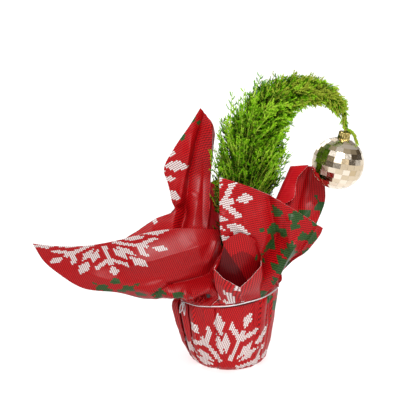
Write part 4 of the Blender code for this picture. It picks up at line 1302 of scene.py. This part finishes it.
def grow_twigs(counts, reaches, runs, stray, seed):
    """Twigs by the rule of the solids: in each cell they leave the limbs, spread over the sector and
    run up along the cones, to a share of the crown's reach. A few stray further out."""
    draw = np.random.default_rng(seed)
    starts, ends = [], []
    for level, sectors in enumerate(LEVEL_SECTORS):
        for sector in range(sectors):
            cell = Cell(level, sector)
            count = counts[level]
            across = 2.0 * (draw.permutation(count) + 0.5) / count - 1.0
            share = (np.arange(count) + 0.5) / count
            reach = draw.uniform(*reaches, count) + stray * (draw.uniform(0.0, 1.0, count) > 0.83)
            from_reach = reach - draw.uniform(*runs, count)
            starts.append(cell.point(share, np.maximum(from_reach, 0.08), across * 0.66))
            end_share = np.clip(share + draw.uniform(-0.14, 0.14, count), 0.0, 1.0)
            ends.append(cell.point(end_share, reach, across))
    return np.concatenate(starts), np.concatenate(ends)


def keep_inside(shoots, slack):
    """Which shoots end within the crown's outer reach, with some slack above, and clear of the leader."""
    station, radius, turn = crown_coordinates(along_shoots(shoots, 1.0))
    slack = 1.0 + (slack - 1.0) * ramp(station - 148.0 * MM, 20.0 * MM)
    return (radius < slack * outer_reach(station, turn)) & (radius > leader_radius(station) + 0.5 * MM)


def shoots_of(starts, ends, draw, slack):
    """Shoots between two ends: starts, headings, lengths and slight bends, without those that leave the
    crown."""
    lengths = np.linalg.norm(ends - starts, axis=1)
    headings = unit(ends - starts)
    bends = side_ways(headings)[1] * draw.normal(0.0, 0.09, len(starts))[:, None]
    shoots = (starts, headings, lengths, bends)
    inside = keep_inside(shoots, slack)
    return tuple(part[inside] for part in shoots)


def fork(shoots, draw):
    """Side shoots: they leave their twig by turns to either side, turned off it by 34 to 60 degrees,
    shorter towards its tip, and curl back towards its heading, so each twig makes a flat spray."""
    headings = shoots[1]
    number = len(headings)
    flat = swung(*side_ways(headings), draw.uniform(0.0, TURN, number))
    sprays = []
    for step in range(SIDE_SHOOTS):
        share = 0.10 + 0.84 * (step + draw.uniform(0.2, 0.8, number)) / SIDE_SHOOTS
        tilt = np.radians(draw.uniform(34.0, 60.0, number))
        side = swung(flat, np.cross(headings, flat), draw.normal(0.0, 0.45, number))
        side = side * (1.0 if step % 2 else -1.0)
        lengths = SIDE_SHOOT_LENGTH * (1.15 - 0.70 * share) * draw.uniform(0.6, 1.3, number)
        sprays.append((along_shoots(shoots, share), unit(swung(headings, side, tilt)), lengths, -side * 0.22))
    return tuple(np.concatenate(part) for part in zip(*sprays))


def tip_whips(draw):
    """Short shoots along the drooping tip and past the cap, lying close along it."""
    path, _ = tip_path()
    run = along_path(path)
    share = draw.uniform(0.0, 0.97, TIP_SHOOTS)
    starts = sampled(share * run[-1], run, path)
    headings = unit(sampled(share * run[-1], run, unit(np.gradient(path, axis=0))))
    side = swung(*side_ways(headings), draw.uniform(0.0, TURN, TIP_SHOOTS))
    loose = ramp(0.78 - share, 0.15)
    tilt = np.radians(draw.uniform(10.0, 24.0 + 26.0 * loose))
    lengths = draw.uniform(4.5, 8.0, TIP_SHOOTS) * MM * (0.8 + 0.4 * loose)
    return starts, unit(swung(headings, side, tilt)), lengths, -side * 0.12


def needles_of(shoots, count, size, bare, draw):
    """Leaves of all shoots at once: beyond the bare share of the stem they leave it in a spiral, at an angle
    that closes towards the tip, and each is a slim keeled rhombus. Gives their points, place and shoot."""
    number = len(shoots[0])
    one, other = side_ways(shoots[1])
    index = np.repeat(np.arange(number), count)
    along = np.tile(bare + (1.0 - bare) * (np.arange(count) + 0.7) / count, number)
    spiral = np.tile(np.arange(count) * NEEDLE_SPIRAL, number)
    spiral = spiral + np.repeat(draw.uniform(0.0, TURN, number), count)
    own = tuple(part[index] for part in shoots)
    ahead = unit(own[1] + 2.0 * own[3] * along[:, None])
    foot = along_shoots(own, along)
    radial = unit(swung(one[index], other[index], spiral))
    angle = np.radians(50.0 - 26.0 * along + draw.uniform(-9.0, 9.0, len(index)))
    way = unit(swung(ahead, radial, angle))
    length = size * (1.10 - 0.30 * along) * draw.uniform(0.8, 1.2, len(index))
    width = (NEEDLE_HALF_WIDTH * length)[:, None]
    side = unit(np.cross(way, radial))
    middle = foot + way * (0.42 * length)[:, None] - np.cross(side, way) * 0.7 * width
    tip = foot + way * length[:, None]
    return np.stack((foot, middle + side * width, tip, middle - side * width), axis=1), along, index


def stems_of(shoots):
    """Three-sided stems of all shoots at once, thinning to a point; longer shoots have thicker ones."""
    thick = STEM_RADIUS * np.clip(shoots[2] / (18.0 * MM), 0.55, 1.6)
    one, other = side_ways(shoots[1])
    ring = swung(one[:, None], other[:, None], np.arange(3) * TURN / 3)
    return np.stack([along_shoots(shoots, share)[:, None] + ring * (thick * size)[:, None, None]
                     for share, size in ((0.0, 1.0), (0.5, 0.72), (1.0, 0.25))], axis=1)


NEEDLE_FACES = np.array(((0, 2, 1), (0, 3, 2)))
STEM_SIDES = ((0, 1), (1, 2), (2, 0), (3, 4), (4, 5), (5, 3))
STEM_FACES = np.array([(a, b, b + 3) for a, b in STEM_SIDES] + [(a, b + 3, a + 3) for a, b in STEM_SIDES]
                      + [(0, 2, 1), (6, 7, 8)])
GREENS = {
    "needles_shade": (0.010, 0.040, 0.001),
    "needles_deep": (0.046, 0.170, 0.002),
    "needles_leaf": (0.140, 0.400, 0.004),
    "needles_fresh": (0.270, 0.570, 0.010),
    "needles_lime": (0.460, 0.740, 0.045),
    "needles_olive": (0.420, 0.500, 0.050),
}
LIME, OLIVE = 4, 5


def greens_of(shoots, lighter, along, index, draw):
    """The green of each needle, by its place among the greens: lighter by shoot and at a shoot's tip,
    and by painted light and shade, further out from the leader and higher up; on the arch, many shoots
    that aren't dark are olive."""
    starts, headings, lengths, _ = shoots
    station, radius, _ = crown_coordinates(starts + headings * (lengths * 0.6)[:, None])
    depth = radius / np.maximum(crown_reach(station), 4.0 * MM)
    # Painted light and shade: the tone rises further out from the leader and higher up the crown.
    tone = lighter - 2.6 + 3.2 * np.clip(depth, 0.0, 1.15) + 2.45 * ramp(station - 95.0 * MM, 75.0 * MM)
    olive = draw.uniform(0.0, 1.0, len(starts)) < 0.7 * ramp(station - UPRIGHT_END, 60.0 * MM)
    pick = np.clip(np.round(tone[index] + 0.9 * (along > 0.75) - 0.5), 0, LIME).astype(int)
    return np.where(olive[index] & (pick > 1), OLIVE, pick)


def make_foliage():
    """All shoots of the crown: inner ones, twigs, their side shoots and the whips on the tip; the
    needles are dealt out by shoot to plain greens, with painted shade making the inner ones and the
    inside dark, and lime towards the tips."""
    draw = np.random.default_rng(97)
    inner = grow_twigs(INNER_TWIGS, reaches=(0.30, 0.86), runs=(0.30, 0.45), stray=0.0, seed=43)
    twigs = grow_twigs(LEVEL_TWIGS, reaches=(0.70, 1.04), runs=(0.50, 0.78), stray=0.32, seed=41)
    inner = shoots_of(*inner, draw, slack=1.0)
    twigs = shoots_of(*twigs, draw, slack=1.24)
    side = fork(twigs, draw)
    kept = keep_inside(side, slack=1.2)
    side = tuple(part[kept] for part in side)
    sprays = draw.normal(0.0, 1.0, len(twigs[0]))
    whips = tip_whips(draw)
    # For each family: needles on a shoot, their size, the bare share of the stem, how light each shoot is
    # The inner family is dealt the darkest greens: painted shade inside the crown.
    families = ((inner, 30, 3.2 * MM, 0.0, draw.normal(-1.9, 0.6, len(inner[0]))),
                (twigs, 34, 2.4 * MM, 0.42, sprays + 0.5),
                (side, 14, 2.5 * MM, 0.1,
                 np.tile(sprays, SIDE_SHOOTS)[kept] + draw.normal(0.0, 0.35, len(side[0]))),
                (whips, 22, 2.2 * MM, 0.0, draw.normal(0.8, 0.8, TIP_SHOOTS)))
    stems = []
    heaps = {name: [] for name in GREENS}
    for shoots, count, size, bare, lighter in families:
        needles, along, index = needles_of(shoots, count, size, bare, draw)
        pick = greens_of(shoots, lighter, along, index, draw)
        for place, heap in enumerate(heaps.values()):
            heap.append(needles[pick == place])
        stems.append(stems_of(shoots))
    for name, heap in heaps.items():
        needles = np.concatenate(heap)
        mesh = mesh_of(name, needles, repeated(NEEDLE_FACES, len(needles), 4))
        new_piece(name, mesh, (leaf_finish(name, GREENS[name]),), MASSES, smooth=False)
    finish = twig_finish()
    for name, parts in (("twigs", stems[:2]), ("side_twigs", stems[2:])):
        rods = np.concatenate(parts)
        mesh = mesh_of(name, rods, repeated(STEM_FACES, len(rods), 9))
        new_piece(name, mesh, (finish,), MASSES, smooth=False)


# Ball

def make_ball():
    """The ball of flat mirror tiles in rows, each tilted a little its own way, over a sphere of grout,
    with its fluted cap and the wire loop."""
    draw = np.random.default_rng(23)
    axes = ball_axes()

    def hung(points):
        """Places along the ball's own axes, moved to where it hangs."""
        return points @ axes + BALL_CENTRE

    edge = np.linspace(math.radians(BALL_TOP_OPEN), math.pi - math.radians(BALL_FOOT_OPEN), BALL_BANDS + 1)
    tiles, shades = [], []
    for low, high in zip(edge, edge[1:]):
        count = max(6, int(round(BALL_SEGMENTS * math.sin((low + high) / 2))))
        turn = draw.uniform(0.0, TURN) + np.arange(count) * TURN / count
        half = math.pi / count * TILE_WIDTH
        inset = (high - low) * TILE_INSET
        around = np.stack((turn - half, turn + half, turn + half, turn - half), axis=1)
        fall = np.array((high - inset, high - inset, low + inset, low + inset))[None]
        corner = BALL_RADIUS * round_axis(np.sin(fall), around, np.cos(fall))
        centre = corner.mean(axis=1, keepdims=True)
        tilt = draw.normal(0.0, TILE_TILT, (count, 1, 3))
        tiles.append(corner + unit(centre) * ((corner - centre) * tilt).sum(axis=-1, keepdims=True))
        shades.append(draw.beta(1.6, 1.2, count))
    face = np.concatenate(tiles)
    boxes = hung(np.concatenate((face, face * (1.0 - TILE_THICKNESS / BALL_RADIUS)), axis=1))
    sides = np.array(((0, 1, 2, 3), (7, 6, 5, 4), (0, 4, 5, 1), (1, 5, 6, 2), (2, 6, 7, 3), (3, 7, 4, 0)))
    mesh = mesh_of("ball_tiles", boxes, repeated(sides, len(boxes), 8))
    layer = mesh.attributes.new("tile_shade", "FLOAT", "FACE")
    layer.data.foreach_set("value", np.repeat(np.concatenate(shades), len(sides)).astype(np.float32))
    new_piece("ball_tiles", mesh, (mirror_finish(),), ["bauble"], smooth=False)

    fall = np.linspace(0.02, math.pi - 0.02, 60)
    radius = BALL_RADIUS - GROUT_DEPTH
    profile = np.stack((radius * np.sin(fall), radius * np.cos(fall)), axis=1)
    profile = np.concatenate((((0.0, radius),), profile, ((0.0, -radius),)))
    mesh = turned_mesh("ball_core", profile, 96, pose=hung)
    new_piece("ball_core", mesh, (grout_finish(),), ["bauble"])

    gold = gold_finish()
    mesh = turned_mesh("ball_cap", np.array(CAP_PROFILE) * MM, 144, CAP_FLUTES, CAP_FLUTE_DEPTH, hung)
    new_piece("ball_cap", mesh, (gold,), ["bauble_cap"])
    middle = CAP_TOP + WIRE_LOOP_RADIUS * math.sin(math.radians(60)) - 0.2
    turns = np.linspace(math.radians(-60), math.radians(240), 60)
    loop = [ball_place(0.0, WIRE_LOOP_RADIUS * math.cos(turn), middle + WIRE_LOOP_RADIUS * math.sin(turn))
            for turn in turns]
    new_tube("ball_loop", loop, WIRE_RADIUS, 10, gold, "bauble_loop", "gold_cap")


# Pot and compost

def pot_radius(height):
    """The pot's outer side between its foot and the step under its rim."""
    share = (height - POT_FOOT) / (POT_STEP - POT_FOOT)
    return POT_FOOT_RADIUS + (POT_BODY_RADIUS - POT_FOOT_RADIUS) * share


def make_pot():
    """A tapering nursery pot with a stepped, rounded rim, and the compost that fills it."""
    rim, top, step, lip, wall = POT_RIM_RADIUS, POT_TOP, POT_STEP, POT_LIP, POT_WALL
    middle, inner = rim - wall / 2, rim - wall
    profile = ((middle, top), (rim - lip / 3, top - lip / 3), (rim, top - lip), (rim, step + lip),
               (rim - lip, step), (POT_BODY_RADIUS, step - lip), (pot_radius(40.0 * MM), 40.0 * MM),
               (POT_FOOT_RADIUS, POT_FOOT + lip), (POT_FOOT_RADIUS - lip, POT_FOOT), (0.0, POT_FOOT),
               (0.0, POT_FLOOR), (pot_radius(POT_FLOOR) - wall, POT_FLOOR),
               (pot_radius(step) - wall, step + wall), (inner, step + wall + lip), (inner, top - lip),
               (inner + lip / 3, top - lip / 3), (middle, top))
    new_piece("nursery_pot", turned_mesh("nursery_pot", profile, POT_STEPS), (pot_finish(),), ["pot"])
    turn = np.linspace(0.0, TURN, POT_STEPS, endpoint=False)
    edge = pot_radius(SOIL_EDGE_HEIGHT) - POT_WALL - 0.2 * MM
    around, out = np.meshgrid(turn, edge * np.linspace(0.0, 1.0, 60)[::-1])
    places = np.stack((out * np.cos(around), out * np.sin(around)), axis=-1)
    clods = 0.9 * MM * smooth_noise(places, seed=3, size=9.0 * MM, count=16)
    crumbs = 0.45 * MM * smooth_noise(places, seed=4, size=3.0 * MM, count=18)
    height = np.minimum(SOIL_TOP - 2.0 * MM * (out / edge) ** 2 + clods + crumbs, SOIL_TOP + 1.2 * MM)
    height[0] = height[0] - 1.0 * MM
    under = [round_axis(share * edge, turn, SOIL_FOOT)[None] for share in (0.0, 0.97)]
    points = np.concatenate(under + [round_axis(out, around, height)])
    mesh = mesh_of("compost_bed", points, grid_faces(len(points), POT_STEPS, ring=True))
    weld(mesh)
    new_piece("compost_bed", mesh, (compost_finish(),), ["compost"])


# Studio

def add_light(name, kind, place, way, floor, only_floor=False, **settings):
    """A lamp that shines along a way. It lights the floor alone, without shadows, or all but the floor."""
    lamp = bpy.data.lights.new(name, kind)
    for key, value in settings.items():
        setattr(lamp, key, value)
    light = bpy.data.objects.new(name, lamp)
    light.location = place
    light.rotation_euler = Vector(way).to_track_quat("-Z", "Y").to_euler()
    bpy.context.scene.collection.objects.link(light)
    group = bpy.data.collections.new(name)
    group.objects.link(floor)
    light.light_linking.receiver_collection = group
    if only_floor:
        light.light_linking.blocker_collection = group
    else:
        group.collection_objects[0].light_linking.link_state = "EXCLUDE"


def make_studio():
    """A wide pale floor with its own even light, a soft main light from the front, above and a little to
    the right, soft boxes over the front, at the right and behind, and light from all round that is
    dimmer at the sides."""
    corners = np.array(((-1, -1, 0), (1, -1, 0), (1, 1, 0), (-1, 1, 0))) * FLOOR_HALF
    mesh = mesh_of("floor", corners, ((0, 1, 2, 3),))
    mesh.materials.append(floor_finish())
    floor = bpy.data.objects.new("floor", mesh)
    bpy.context.scene.collection.objects.link(floor)
    floor.location.z = -0.2 * MM
    for name, place, size, power in (("key_light", (-0.20, -1.05, 1.0), 0.9, 5.5),
                                     ("side_light", (0.9, -0.9, 0.7), 0.5, 2.5),
                                     ("back_light", (-0.3, 1.3, 0.8), 0.9, 5.0)):
        add_light(name, "AREA", place, Vector(LIGHT_TARGET) - Vector(place), floor,
                  shape="SQUARE", size=size, energy=power)
    for name, power, angle, way in (("main_light", 2.2, 20.0, (-0.16, 0.85, -0.80)),
                                    ("floor_light", 2.9, 60.0, (0.0, 0.0, -1.0))):
        add_light(name, "SUN", (0.0, 0.0, 0.0), way, floor, name == "floor_light",
                  energy=power, angle=math.radians(angle))
    sky = Works("studio", world=True)
    _, back, up = sky.apart(sky.add("TexCoord", {}, "Generated"))
    glow = sky.most(sky.ease(back, 0.45, 0.9, 0.0, 0.72), sky.ease(back, -0.55, -0.95, 0.0, 0.34),
                    sky.ease(up, 0.3, 0.8, 0.0, 1.0))
    sky.set(Color=sky.mix(glow, (0.10, 0.085, 0.07), (0.62, 0.62, 0.62)), Strength=1.0)
    bpy.context.scene.world = sky.owner
    bpy.context.scene.view_settings.view_transform = "Standard"


make_camera()
make_studio()
make_wrap()
make_tie()
make_limbs()
make_foliage()
make_ball()
make_pot()
